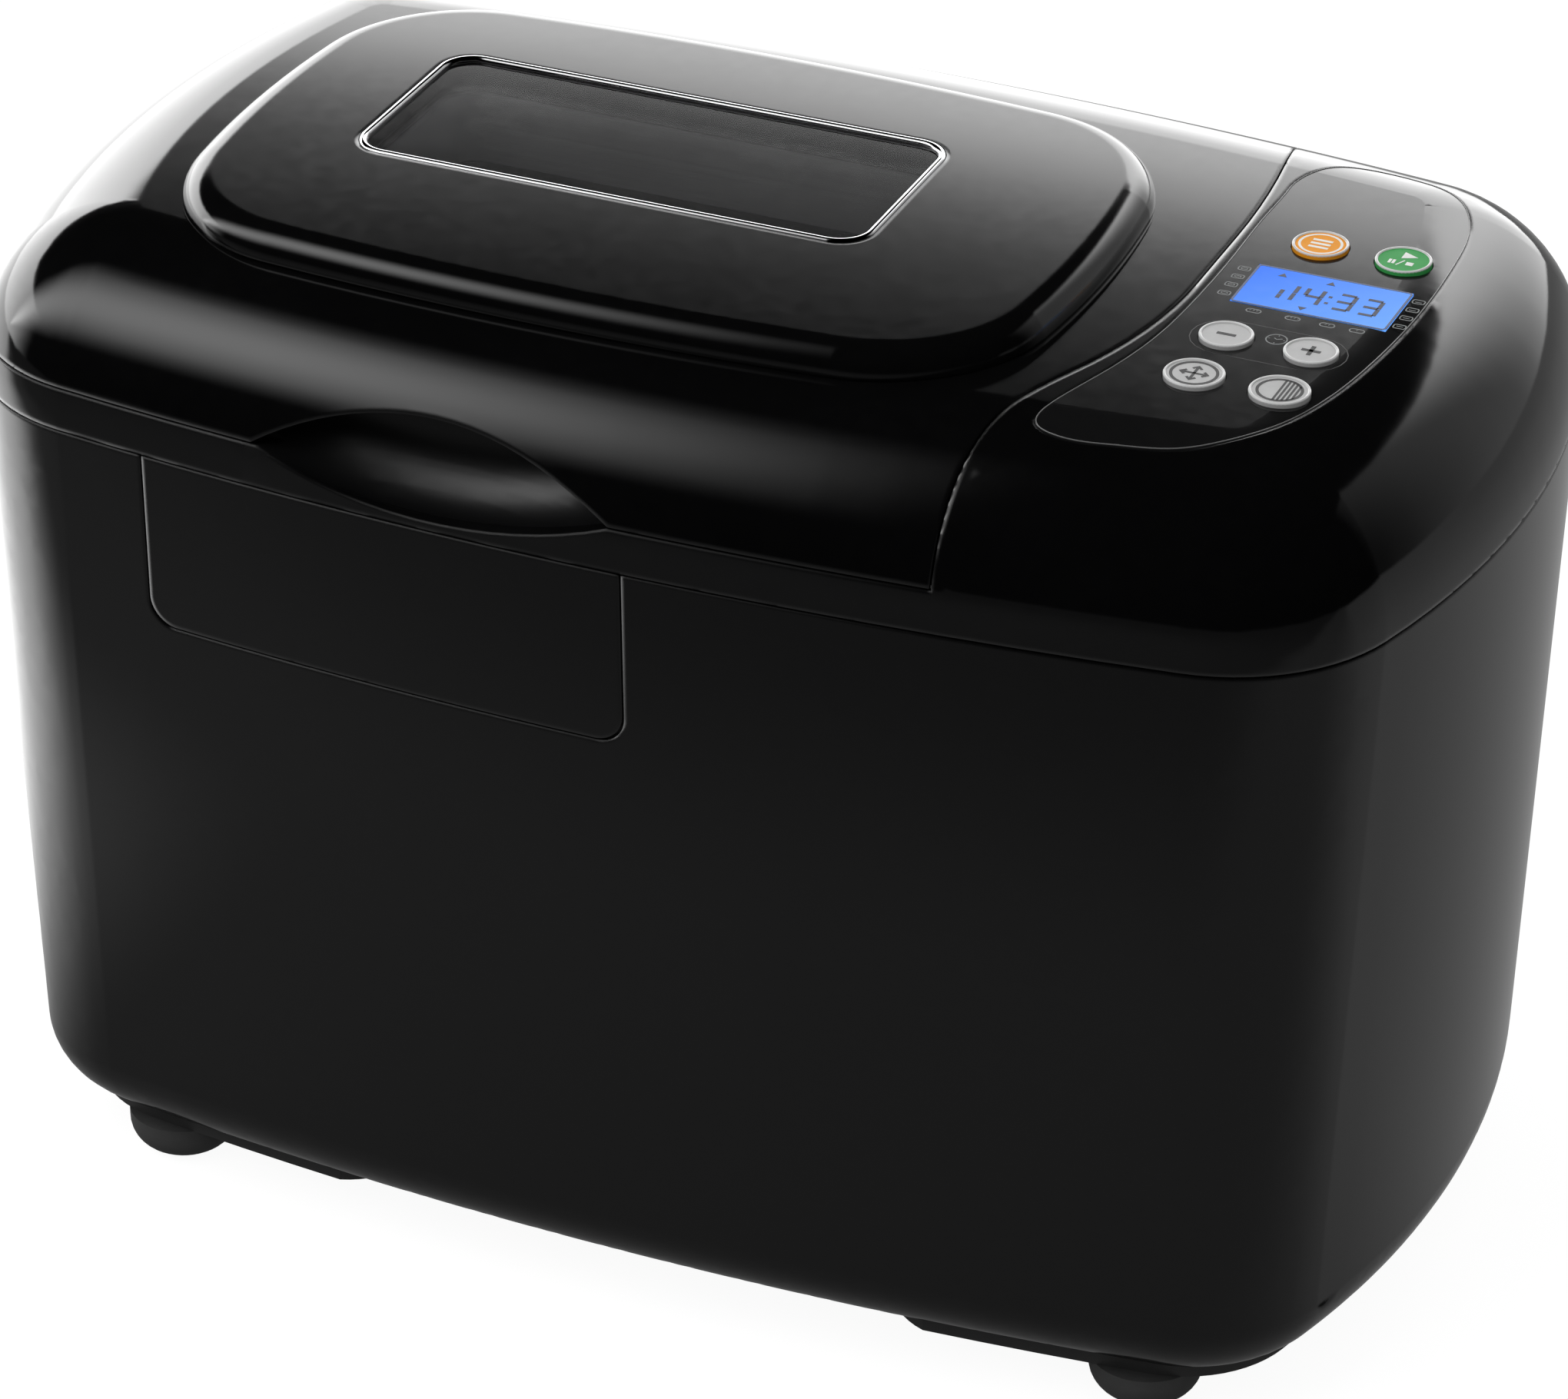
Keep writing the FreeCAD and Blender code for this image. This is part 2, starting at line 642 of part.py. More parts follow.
film_skin = cut("film_skin", cap_outer, [cap_film])
film_rebate = common("film_rebate", film_skin, film_prism("film_seat", 0.15))
node("control_overlay", cut(
    "film_sheet", common("film_blank", film_skin, film_prism("film_edge", -0.1)),
    [group("film_holes", key_holes), lcd_hole]))
node("lcd_lens", mid_box(
    "lens", ("lcd_width", "lcd_depth", "wall + 0.9"), ("lcd_middle", "lcd_back"), UNDER_TOP + " - 0.8"))
node("lcd_module", mid_box(
    "module", ("lcd_width + 6", "lcd_depth + 5", UNDER_TOP + " - 0.8 - board_height - board_thick"),
    ("lcd_middle", "lcd_back"), "board_height + board_thick"))

for name, x, y, radius in KEYS:
    cap = rod(name + "_cap", radius, "wall + key_proud + 1", (x, y, UNDER_TOP + " - 1"))
    flange = rod(name + "_flange", radius + " + 1.2", "1.2", (x, y, UNDER_TOP + " - 2"))
    stem = rod(name + "_stem", "2", "2.8", (x, y, UNDER_TOP + " - 3.7"))
    node(name, fuse(name + "_solid", [cap, flange, stem]))

switches = []
for name, x, y, radius in KEYS:
    case = mid_box(name + "_switch", ("6", "6", "1.6"), (x, y), "board_height + board_thick")
    plunger = rod(name + "_plunger", "1.7", "1.4", (x, y, "board_height + board_thick + 0.6"))
    switches.append(fuse(name + "_tact", [case, plunger]))
node("tact_switches", group("switch_group", switches))

BOARD_POSTS = [("127", "64"), ("160", "58"), ("127", "-63"), ("156", "-62")]
board_posts = []
for index, (x, y) in enumerate(BOARD_POSTS):
    board_posts.append(rod(
        "board_post_%d" % index, "3", "top_height - board_height - board_thick - 1.5",
        (x, y, "board_height + board_thick")))
node("control_board", mid_box(
    "board", ("56", "140", "board_thick"), ("150", "1"), "board_height"))

# Upper collar: band, deck, console walls and hinge ears

HINGES = [("left", "hinge_left"), ("right", "hinge_right")]
chamber_mouth = rounded_block(
    "chamber_mouth", "chamber_width + 2 * sheet_thick + 1", "chamber_depth + 2 * sheet_thick + 1",
    "chamber_corner", "40", ("chamber_middle", "0"), "deck_height - 20")
deck = common("deck", cap_inner, mid_box(
    "deck_slab", ("body_width", "body_depth", "3"), ("0", "0"), "deck_height - 3"))
console_wall_zone = cut("console_wall_zone", wall_zone, [collar_zone])
console_wall_half = cut("console_wall_half", console_wall_zone, [mid_box(
    "below_split", ("3 * body_width", "3 * body_depth", "40"), ("-body_width", "0"), "lid_edge - 40")])
console_wall = common("console_wall", cap_outer, console_wall_half)
lip_ring = cut("lip_ring", common("lip_block", cap_form("lip_outer", "wall + 0.25", "seam_height - 6"), mid_box(
    "lip_slab", ("body_width", "body_depth", "14"), ("0", "0"), "seam_height - 6")), [cap_lip])
scoop_back = common("scoop_back", cap_outer, scoop_block)
scoop_wall = cut("scoop_wall", common("scoop_wall_blank", cap_lip, scoop_wall_block), [scoop_hollow])

ears = []
ear_reliefs = []
pins = []
lid_knuckles = []
lid_reliefs = []
for side, middle in HINGES:
    for tag, start in (("a", "(%s) - knuckle_length / 2 - ear_length - 0.3"), ("b", "(%s) + knuckle_length / 2 + 0.3")):
        x = start % middle
        barrel = rod(
            "ear_%s_%s" % (side, tag), "knuckle_radius", "ear_length", (x, "hinge_back", "hinge_height"), "X")
        post = box(
            "ear_post_%s_%s" % (side, tag), ("ear_length", "2 * knuckle_radius", "hinge_height - seam_height - 3"),
            (x, "hinge_back - knuckle_radius", "seam_height + 3"))
        root = box(
            "ear_root_%s_%s" % (side, tag), ("ear_length", "18", "lid_edge - seam_height - 4.5"),
            (x, "hinge_back - 17", "seam_height + 3"))
        ears.append(fuse("ear_solid_%s_%s" % (side, tag), [barrel, post, root]))
        lid_reliefs.append(box(
            "lid_notch_%s_%s" % (side, tag),
            ("ear_length + 1", "20", "hinge_height - lid_edge + knuckle_radius + 1.6"),
            ("%s - 0.5" % x, "hinge_back - knuckle_radius - 0.8", "lid_edge - 1")))
    ear_reliefs.append(rod(
        "ear_relief_" + side, "knuckle_radius + 0.8", "knuckle_length + 0.6",
        ("(%s) - knuckle_length / 2 - 0.3" % middle, "hinge_back", "hinge_height"), "X"))
    pins.append(rod(
        "pin_" + side, "hinge_pin_radius", "knuckle_length + 2 * ear_length + 0.6",
        ("(%s) - knuckle_length / 2 - ear_length - 0.3" % middle, "hinge_back", "hinge_height"), "X"))
    lid_knuckles.append(rod(
        "lid_knuckle_" + side, "knuckle_radius", "knuckle_length",
        ("(%s) - knuckle_length / 2" % middle, "hinge_back", "hinge_height"), "X"))
    lid_knuckles.append(box(
        "lid_knuckle_web_" + side, ("knuckle_length", "14", "knuckle_radius + 3"),
        ("(%s) - knuckle_length / 2" % middle, "hinge_back - 14", "hinge_height")))

pin_bores = []
knuckle_bores = []
for side, middle in HINGES:
    start = ("(%s) - 40" % middle, "hinge_back", "hinge_height")
    pin_bores.append(rod("pin_bore_" + side, "hinge_pin_radius + 0.01", "80", start, "X"))
    knuckle_bores.append(rod("knuckle_bore_" + side, "hinge_pin_radius + run_fit", "80", start, "X"))

collar_full = fuse("collar_full", [cap_shell, console_wall, scoop_back] + board_posts)
key_hole_group = group("key_holes", key_holes)
collar_open = cut("collar_open", collar_full, [collar_zone, scoop_hollow, film_rebate, lcd_hole, key_hole_group])
collar_decked = fuse("collar_decked", [collar_open, deck, lip_ring, scoop_wall] + ears)
hinge_clearance = group("hinge_clearance", ear_reliefs)
node("upper_collar", cut(
    "collar", collar_decked, [chamber_mouth, scoop_hollow, hinge_clearance, group("pin_bores", pin_bores)]))
node("hinge_pins", group("hinge_pin_group", pins))

# Lid

window_through = rounded_block(
    "window_through", "window_width", "window_depth", "window_corner", "60", ("window_middle", "window_back"),
    "top_height - 30")
LINER_SCREWS = [
    ("plate_middle - liner_width / 2 + 34", "-60"), ("plate_middle + liner_width / 2 - 34", "-60"),
    ("plate_middle - liner_width / 2 + 34", "66"), ("plate_middle + liner_width / 2 - 34", "66"),
]
lid_bosses = []
boss_bores = []
liner_screws = []
for index, (x, y) in enumerate(LINER_SCREWS):
    lid_bosses.append(rod(
        "lid_boss_%d" % index, "boss_radius", "top_height - 1 - liner_height - sheet_thick",
        (x, y, "liner_height + sheet_thick")))
    boss_bores.append(rod("boss_bore_%d" % index, "1.5", "12", (x, y, "liner_height - 2")))
    head = rod("liner_head_%d" % index, "3.2", "2", (x, y, "liner_height - 2"))
    shank = rod("liner_shank_%d" % index, "1.45", "10", (x, y, "liner_height - 0.5"))
    socket = mid_box("liner_socket_%d" % index, ("3.6", "0.9", "1.2"), (x, y), "liner_height - 2.2")
    liner_screws.append(cut("liner_screw_%d" % index, fuse("liner_screw_body_%d" % index, [head, shank]), [socket]))
lid_skin = common("lid_skin", cap_shell, lid_zone)
lid_whole = fuse("lid_whole", [lid_skin] + lid_bosses)
lid_relieved = cut("lid_relieved", lid_whole, [
    scoop_arch, window_through, group("boss_bores", boss_bores), group("lid_reliefs", lid_reliefs)])
lid_knuckled = fuse("lid_knuckled", [lid_relieved] + lid_knuckles)
node("lid_outer_shell", cut("lid_shell", lid_knuckled, [group("knuckle_bores", knuckle_bores)]))
node("liner_screws", group("liner_screw_group", liner_screws))

plate = bowed_block(
    "plate", "plate_width", "plate_depth", ("plate_bow", "plate_side_bow"), "plate_corner", "plate_rise",
    "top_height", ("plate_middle", "plate_back"))
fillet(plate, "plate_round", plate.Tip, "top_height + plate_rise", "plate_round")
node("lid_top_plate", cut("plate_open", plate, [window_through]))

trim_outer = rounded_block(
    "trim_outer", "window_width - 0.2", "window_depth - 0.2", "window_corner - 0.1", "plate_rise + wall + 0.6",
    ("window_middle", "window_back"), UNDER_TOP)
trim_inner = rounded_block(
    "trim_inner", "window_width - 0.2 - 2 * trim_width", "window_depth - 0.2 - 2 * trim_width",
    "window_corner - trim_width", "60", ("window_middle", "window_back"), "top_height - 30")
node("window_trim", cut("trim", trim_outer, [trim_inner]))
node("window_glass", rounded_block(
    "pane", "window_width - 0.4 - 2 * trim_width", "window_depth - 0.4 - 2 * trim_width",
    "window_corner - trim_width - 0.1", "glass_thick", ("window_middle", "window_back"),
    "top_height + plate_rise - glass_thick - 0.8"))

tunnel_outer = rounded_block(
    "tunnel_outer", "window_width - 1", "window_depth - 1", "window_corner - 0.5", UNDER_TOP + " - liner_height",
    ("window_middle", "window_back"), "liner_height")
tunnel_inner = rounded_block(
    "tunnel_inner", "window_width - 1 - 2 * sheet_thick", "window_depth - 1 - 2 * sheet_thick",
    "window_corner - 0.5 - sheet_thick", "60", ("window_middle", "window_back"), "liner_height + sheet_thick")
light_opening = rounded_block(
    "light_opening", "window_width - 12", "window_depth - 12", "window_corner - 4", "60",
    ("window_middle", "window_back"), "liner_height - 30")
tray = rounded_block(
    "tray", "liner_width", "liner_depth", "chamber_corner", "sheet_thick",
    ("chamber_middle", "0"), "liner_height")
screw_passes = []
for index, (x, y) in enumerate(LINER_SCREWS):
    screw_passes.append(rod("screw_pass_%d" % index, "1.6", "10", (x, y, "liner_height - 5")))
node("lid_inner_liner", cut(
    "liner", fuse("liner_body", [tray, tunnel_outer]), [tunnel_inner, light_opening, group("screw_passes", screw_passes)]))
node("inner_window", rounded_block(
    "inner_pane", "window_width - 1.4 - 2 * sheet_thick", "window_depth - 1.4 - 2 * sheet_thick",
    "window_corner - 0.7 - sheet_thick", "glass_thick", ("window_middle", "window_back"),
    "liner_height + sheet_thick"))

# Baking chamber

AXES = [("left", "chamber_middle - paddle_spacing / 2"), ("right", "chamber_middle + paddle_spacing / 2")]
ELEMENT_HEIGHT = "(chamber_floor + 14)"
ELEMENT_GAP = "26"
CHAMBER_RIGHT = "(chamber_middle + chamber_width / 2)"
SENSOR_HEIGHT = "(chamber_floor + 70)"
tub_outer = rounded_block(
    "tub_outer", "chamber_width + 2 * sheet_thick", "chamber_depth + 2 * sheet_thick",
    "chamber_corner - 0.5", "deck_height - chamber_floor + sheet_thick", ("chamber_middle", "0"),
    "chamber_floor - sheet_thick")
tub_flange = rounded_block(
    "tub_flange", "chamber_width + 18", "chamber_depth + 18", "chamber_corner + 6", "sheet_thick",
    ("chamber_middle", "0"), "deck_height")
tub_inner = rounded_block(
    "tub_inner", "chamber_width", "chamber_depth", "chamber_corner - 0.5 - sheet_thick", "260",
    ("chamber_middle", "0"), "chamber_floor")
tub_holes = []
for side, x in AXES:
    tub_holes.append(rod("shaft_hole_" + side, "14", "20", (x, "0", "chamber_floor - 10")))
for sign in ("", "-"):
    tub_holes.append(rod(
        "lead_hole" + ("_front" if sign else "_back"), "element_radius + 0.4", "20",
        (CHAMBER_RIGHT + " - 10", "%s%s / 2" % (sign, ELEMENT_GAP), ELEMENT_HEIGHT), "X"))
tub_holes.append(rod("sensor_hole", "3.3", "20", (CHAMBER_RIGHT + " - 10", "44", SENSOR_HEIGHT), "X"))
node("baking_chamber", cut("tub", fuse("tub_body", [tub_outer, tub_flange]), [tub_inner, group("tub_holes", tub_holes)]))

# Heating tube: an open loop near the chamber floor whose two ends leave through the right wall.

def element_path():
    """Spine of the heating tube."""
    spine = doc.addObject("Sketcher::SketchObject", "element_spine")
    x = number("chamber_width / 2 - element_inset")
    y = number("chamber_depth / 2 - element_inset")
    r = number("chamber_corner - element_inset")
    gap = number(ELEMENT_GAP) / 2
    turn = 8.0
    quarter = math.pi / 2
    line(spine, (x, -gap - turn), (x, -y + r))
    arc(spine, (x - r, -y + r), r, -quarter, 0)
    line(spine, (x - r, -y), (-x + r, -y))
    arc(spine, (-x + r, -y + r), r, 2 * quarter, 3 * quarter)
    line(spine, (-x, -y + r), (-x, y - r))
    arc(spine, (-x + r, y - r), r, quarter, 2 * quarter)
    line(spine, (-x + r, y), (x - r, y))
    arc(spine, (x - r, y - r), r, 0, quarter)
    line(spine, (x, y - r), (x, gap + turn))
    place(spine, "chamber_middle", "0", ELEMENT_HEIGHT)
    return spine, x, gap + turn


spine, tube_x, tube_y = element_path()
tube_profile = doc.addObject("Sketcher::SketchObject", "element_profile")
draw_circle(tube_profile, "element_radius")
tube_profile.Placement.Rotation = FreeCAD.Rotation(FreeCAD.Vector(1, 0, 0), 90)
place(tube_profile, "chamber_middle + chamber_width / 2 - element_inset", "-%s / 2 - 8" % ELEMENT_GAP, ELEMENT_HEIGHT)
tube = doc.addObject("Part::Sweep", "element_tube")
tube.Sections = [tube_profile]
tube.Spine = (spine, [])
tube.Solid = True
tube.Transition = 1
tube_ends = []
for tag, sign in (("front", "-"), ("back", "")):
    elbow = doc.addObject("Part::Sphere", "element_elbow_" + tag)
    bind(elbow, "Radius", "element_radius")
    place(elbow, "chamber_middle + chamber_width / 2 - element_inset", "%s%s / 2" % (sign, ELEMENT_GAP), ELEMENT_HEIGHT)
    joint_start = "-%s / 2 - 8" % ELEMENT_GAP if sign else "%s / 2" % ELEMENT_GAP
    tube_ends.append(elbow)
    tube_ends.append(rod(
        "element_link_" + tag, "element_radius", "8",
        ("chamber_middle + chamber_width / 2 - element_inset", joint_start, ELEMENT_HEIGHT), "Y"))
    tube_ends.append(rod(
        "element_lead_" + tag, "element_radius", "element_inset + 14",
        ("chamber_middle + chamber_width / 2 - element_inset", "%s%s / 2" % (sign, ELEMENT_GAP), ELEMENT_HEIGHT), "X"))
node("heating_element", fuse("element", [tube] + tube_ends))

CLIPS = [("front", "chamber_middle", "-1"), ("back", "chamber_middle", "1")]
clips = []
for tag, x, sign in CLIPS:
    y = "%s * (chamber_depth / 2 - (element_inset + element_radius + 1.5) / 2)" % sign
    blank = mid_box("clip_" + tag, ("8", "element_inset + element_radius + 1.5", "10"), (x, y), ELEMENT_HEIGHT + " - 5")
    hole = rod(
        "clip_hole_" + tag, "element_radius + 0.02", "20",
        ("chamber_middle - 10", "%s * (chamber_depth / 2 - element_inset)" % sign, ELEMENT_HEIGHT), "X")
    clips.append(cut("clip_cut_" + tag, blank, [hole]))
node("element_clips", group("clip_group", clips))

sensor_tip = rod("sensor_tip", "3", "16", (CHAMBER_RIGHT + " - 12", "44", SENSOR_HEIGHT), "X")
sensor_nut = rod("sensor_nut", "6", "4", (CHAMBER_RIGHT + " + sheet_thick", "44", SENSOR_HEIGHT), "X")
node("temperature_sensor", fuse("sensor", [sensor_tip, sensor_nut]))

# Bread pan

def pan_form(name, inset, low, high):
    """The pan's drafted form, or one set in from it."""
    sections = []
    for tag, z in (("low", low), ("high", high)):
        slope = "2 * pan_draft * (pan_rim - (%s)) / (pan_rim - pan_floor)" % z
        sketch = free_sketch("%s_%s" % (name, tag), ("chamber_middle", "0", z))
        draw_rounded(
            sketch, "pan_width - 2 * (%s) - %s" % (inset, slope), "pan_depth - 2 * (%s) - %s" % (inset, slope),
            "pan_corner - (%s)" % inset)
        sections.append(sketch)
    return loft(name, sections)


pan_outer = pan_form("pan_outer", "0", "pan_floor", "pan_rim")
pan_inner = pan_form("pan_inner", "pan_wall", "pan_floor + 2", "pan_rim + 10")
pan_lip = rounded_block(
    "pan_lip", "pan_width + 2 * rim_reach", "pan_depth + 2 * rim_reach", "pan_corner + rim_reach", "2.4",
    ("chamber_middle", "0"), "pan_rim - 2.4")
skirt_outer = rounded_block(
    "skirt_outer", "pan_width - 2 * pan_draft - 30", "pan_depth - 2 * pan_draft - 30", "pan_corner - 6",
    "pan_floor - chamber_floor - 0.2", ("chamber_middle", "0"), "chamber_floor + 0.2")
skirt_inner = rounded_block(
    "skirt_inner", "pan_width - 2 * pan_draft - 34", "pan_depth - 2 * pan_draft - 34", "pan_corner - 8",
    "pan_floor - chamber_floor", ("chamber_middle", "0"), "chamber_floor")
bush_seats = []
bush_bores = []
bushes = []
for side, x in AXES:
    bush_seats.append(rod("bush_seat_" + side, "11", "10", (x, "0", "pan_floor - 10")))
    bush_bores.append(rod("bush_bore_" + side, "shaft_radius + 2.5", "30", (x, "0", "pan_floor - 15")))
    sleeve = rod("sleeve_" + side, "shaft_radius + 2.49", "14", (x, "0", "pan_floor - 10"))
    sleeve_bore = rod("sleeve_bore_" + side, "shaft_radius + run_fit", "30", (x, "0", "pan_floor - 15"))
    bushes.append(cut("bush_" + side, sleeve, [sleeve_bore]))
bail_posts = []
bail_holes = []
PIVOT_HEIGHT = "(pan_rim + 7)"
for tag, sign in (("left", "-1"), ("right", "1")):
    x = "chamber_middle + %s * (pan_width / 2 + rim_reach - 1)" % sign
    tab = mid_box("bail_tab_" + tag, ("2", "16", "14"), (x, "0"), "pan_rim - 1")
    bail_posts.append(tab)
    bail_holes.append(rod(
        "bail_hole_" + tag, "bail_radius + run_fit", "20", ("(%s) - 10" % x, "0", PIVOT_HEIGHT), "X"))
pan_skirt = cut("pan_skirt", skirt_outer, [skirt_inner])
pan_blank = fuse("pan_blank", [pan_outer, pan_lip, pan_skirt] + bush_seats + bail_posts)
pan_bores = group("pan_bores", bush_bores + bail_holes)
node("bread_pan", cut("pan", pan_blank, [pan_inner, pan_bores]))
node("pan_bushes", group("bush_group", bushes))

# Bail: a wire bow lying on the rim, pivoted in the two tabs.

BAIL_X = "(pan_width / 2 + rim_reach - 1)"
BAIL_ARM = "(pan_depth / 2 - 4)"
bail_parts = []
for tag, sign in (("left", "-1"), ("right", "1")):
    x = "chamber_middle + %s * (%s - 5)" % (sign, BAIL_X)
    bail_parts.append(rod("bail_arm_" + tag, "bail_radius", BAIL_ARM, (x, "-" + BAIL_ARM, PIVOT_HEIGHT), "Y"))
    pivot_start = "chamber_middle - %s - 2.5" % BAIL_X if sign == "-1" else "chamber_middle + %s - 5" % BAIL_X
    bail_parts.append(rod("bail_pivot_" + tag, "bail_radius", "7.5", (pivot_start, "0", PIVOT_HEIGHT), "X"))
    for end, y in (("front", "-" + BAIL_ARM), ("back", "0")):
        knob = doc.addObject("Part::Sphere", "bail_knee_%s_%s" % (tag, end))
        bind(knob, "Radius", "bail_radius")
        place(knob, x, y, PIVOT_HEIGHT)
        bail_parts.append(knob)
bail_parts.append(rod(
    "bail_bow", "bail_radius", "2 * (%s - 5)" % BAIL_X,
    ("chamber_middle - %s + 5" % BAIL_X, "-" + BAIL_ARM, PIVOT_HEIGHT), "X"))
node("pan_handle", fuse("bail", bail_parts))

# Paddles, shafts and drive couplings

DOG_TOP = "(pan_floor - 10.3)"
for side, x in AXES:
    hub = rod(side + "_hub", "hub_radius", "24", (x, "0", "pan_floor + 4.4"))
    blade = mid_box(
        side + "_blade", ("blade_reach - 4", "4", "20"), ("%s + (blade_reach + 4) / 2" % x, "0"), "pan_floor + 4.4")
    fin = mid_box(
        side + "_fin", ("12", "4", "34"), ("%s + blade_reach - 8" % x, "0"), "pan_floor + 4.4")
    tail = mid_box(side + "_tail", ("14", "4", "12"), ("%s - 12" % x, "0"), "pan_floor + 4.4")
    bore = rod(side + "_hub_bore", "shaft_radius + 0.1", "21", (x, "0", "pan_floor + 3"))
    node("paddle_" + side, cut(side + "_paddle", fuse(side + "_paddle_body", [hub, blade, fin, tail]), [bore]))
    spindle = rod(side + "_spindle", "shaft_radius", "pan_floor + 22 - (%s)" % DOG_TOP, (x, "0", DOG_TOP))
    collar_disc = rod(side + "_disc", "9", "2.5", (x, "0", DOG_TOP + " - 2.5"))
    tang = mid_box(side + "_tang", ("17", "tang_width", "7"), (x, "0"), DOG_TOP + " - 9")
    node("pan_shaft_" + side, fuse(side + "_shaft", [spindle, collar_disc, tang]))
    cup = rod(side + "_cup", "11.5", "9.5", (x, "0", DOG_TOP + " - 12.5"))
    slot = mid_box(
        side + "_slot", ("26", "tang_width + 2 * tang_clear", "20"), (x, "0"), DOG_TOP + " - 9.3")
    seat = rod(side + "_cup_seat", "5.02", "6", (x, "0", DOG_TOP + " - 13"))
    node("drive_coupling_" + side, cut(side + "_coupling", cup, [slot, seat]))
    drive = rod(side + "_drive", "5", DOG_TOP + " - 9.8 - 22", (x, "0", "22"))
    node("drive_shaft_" + side, drive)

# Pulleys and belts

right_axis = "chamber_middle + paddle_spacing / 2"
left_axis = "chamber_middle - paddle_spacing / 2"
PULLEY_LOW = "24"
LINK_LOW = "33"
big_rim = rod("big_rim", "large_pulley", "7", (right_axis, "0", PULLEY_LOW))
big_low = rod("big_low", "large_pulley + 2.6", "1", (right_axis, "0", PULLEY_LOW + " - 1"))
big_high = rod("big_high", "large_pulley + 2.6", "1", (right_axis, "0", PULLEY_LOW + " + 7"))
link_right = rod("link_right", "link_pulley", "7", (right_axis, "0", "32"))
link_right_lip = rod("link_right_lip", "link_pulley + 2.6", "1", (right_axis, "0", "39"))
right_seat = rod("right_seat", "5.02", "40", (right_axis, "0", "10"))
node("drive_pulley_right", cut(
    "right_pulley", fuse("right_pulley_body", [big_rim, big_low, big_high, link_right, link_right_lip]), [right_seat]))
link_left = rod("link_left", "link_pulley", "7", (left_axis, "0", "32"))
link_left_low = rod("link_left_low", "link_pulley + 2.6", "1", (left_axis, "0", "31"))
link_left_high = rod("link_left_high", "link_pulley + 2.6", "1", (left_axis, "0", "39"))
left_seat = rod("left_seat", "5.02", "40", (left_axis, "0", "10"))
node("drive_pulley_left", cut(
    "left_pulley", fuse("left_pulley_body", [link_left, link_left_low, link_left_high]), [left_seat]))


def draw_loop(sketch, span, left_radius, right_radius):
    """Two circles joined by their outer tangents, the left one at the origin."""
    lean = math.asin((left_radius - right_radius) / span)
    up = math.pi / 2 - lean
    arc(sketch, (0.0, 0.0), left_radius, up, 2 * math.pi - up)
    arc(sketch, (span, 0.0), right_radius, -up, up)
    for sign in (1, -1):
        first = (left_radius * math.cos(up), sign * left_radius * math.sin(up))
        second = (span + right_radius * math.cos(up), sign * right_radius * math.sin(up))
        line(sketch, first, second)


def belt(name, x, span, left_radius, right_radius, z, height):
    """A flat belt around two pulleys."""
    forms = []
    for tag, grow in (("outer", "run_fit + belt_thick"), ("inner", "run_fit")):
        body = new_body("%s_%s" % (name, tag))
        sketch = sketch_on(body, "%s_%s_outline" % (name, tag), "XY_Plane", (x, "0", z))
        reach = number(grow)
        draw_loop(sketch, number(span), number(left_radius) + reach, number(right_radius) + reach)
        pad(body, "%s_%s_pad" % (name, tag), sketch, height)
        forms.append(body)
    return cut(name, forms[0], [forms[1]])


node("belt_motor", belt(
    "motor_belt", right_axis, "motor_middle - (%s)" % right_axis, "large_pulley", "motor_pulley",
    PULLEY_LOW + " + 0.5", "6"))
node("belt_paddles", belt(
    "paddle_belt", left_axis, "paddle_spacing", "link_pulley", "link_pulley", "32.5", "6"))

# Motor

motor_can = rod("motor_can", "motor_radius", "62", ("motor_middle", "0", "chassis_height + chassis_thick"))
motor_boss = rod("motor_boss", "9", "5", ("motor_middle", "0", "chassis_height + chassis_thick + 61"))
motor_bore = rod("motor_bore", "4 + run_fit", "40", ("motor_middle", "0", "chassis_height"))
node("motor_body", cut("motor", fuse("motor_blank", [motor_can, motor_boss]), [motor_bore]))
node("motor_shaft", rod("motor_spindle", "4", "60", ("motor_middle", "0", "22")))
small_rim = rod("small_rim", "motor_pulley", "7", ("motor_middle", "0", PULLEY_LOW))
small_low = rod("small_low", "motor_pulley + 2.6", "1", ("motor_middle", "0", PULLEY_LOW + " - 1"))
small_high = rod("small_high", "motor_pulley + 2.6", "1", ("motor_middle", "0", PULLEY_LOW + " + 7"))
small_seat = rod("small_seat", "4.02", "40", ("motor_middle", "0", "10"))
node("motor_pulley_small", cut("small_pulley", fuse("small_body", [small_rim, small_low, small_high]), [small_seat]))

# Chassis plate with bearing tubes and legs to the base

chassis_plate = mid_box(
    "chassis_plate", ("344", "130", "chassis_thick"), ("12", "0"), "chassis_height")
bearings = []
bearing_bores = []
for side, x in AXES:
    bearings.append(rod("bearing_" + side, "9", "9", (x, "0", "chassis_height - 3")))
    bearing_bores.append(rod("bearing_bore_" + side, "5 + run_fit", "40", (x, "0", "chassis_height - 20")))
bearing_bores.append(rod("motor_pass", "12", "20", ("motor_middle", "0", "chassis_height - 10")))
LEGS = [("-150", "-52"), ("-150", "52"), ("70", "-52"), ("70", "52"), ("164", "-48"), ("164", "48")]
legs = []
leg_bores = []
for index, (x, y) in enumerate(LEGS):
    legs.append(rod("leg_%d" % index, "6", "chassis_height - foot_line - 3", (x, y, "foot_line + 3")))
    leg_bores.append(rod("leg_bore_%d" % index, "1.9", "14", (x, y, "foot_line")))
props = []
for index, (x, y) in enumerate((("-150", "-50"), ("-150", "50"), ("58", "-50"), ("58", "50"))):
    props.append(rod(
        "prop_%d" % index, "5", "chamber_floor - sheet_thick - chassis_height - chassis_thick + 0.5",
        (x, y, "chassis_height + chassis_thick - 0.5")))
node("drive_chassis", cut(
    "chassis", fuse("chassis_body", [chassis_plate] + bearings + legs + props),
    [group("chassis_bores", bearing_bores + leg_bores)]))

# Base plate with vents, pads and screws

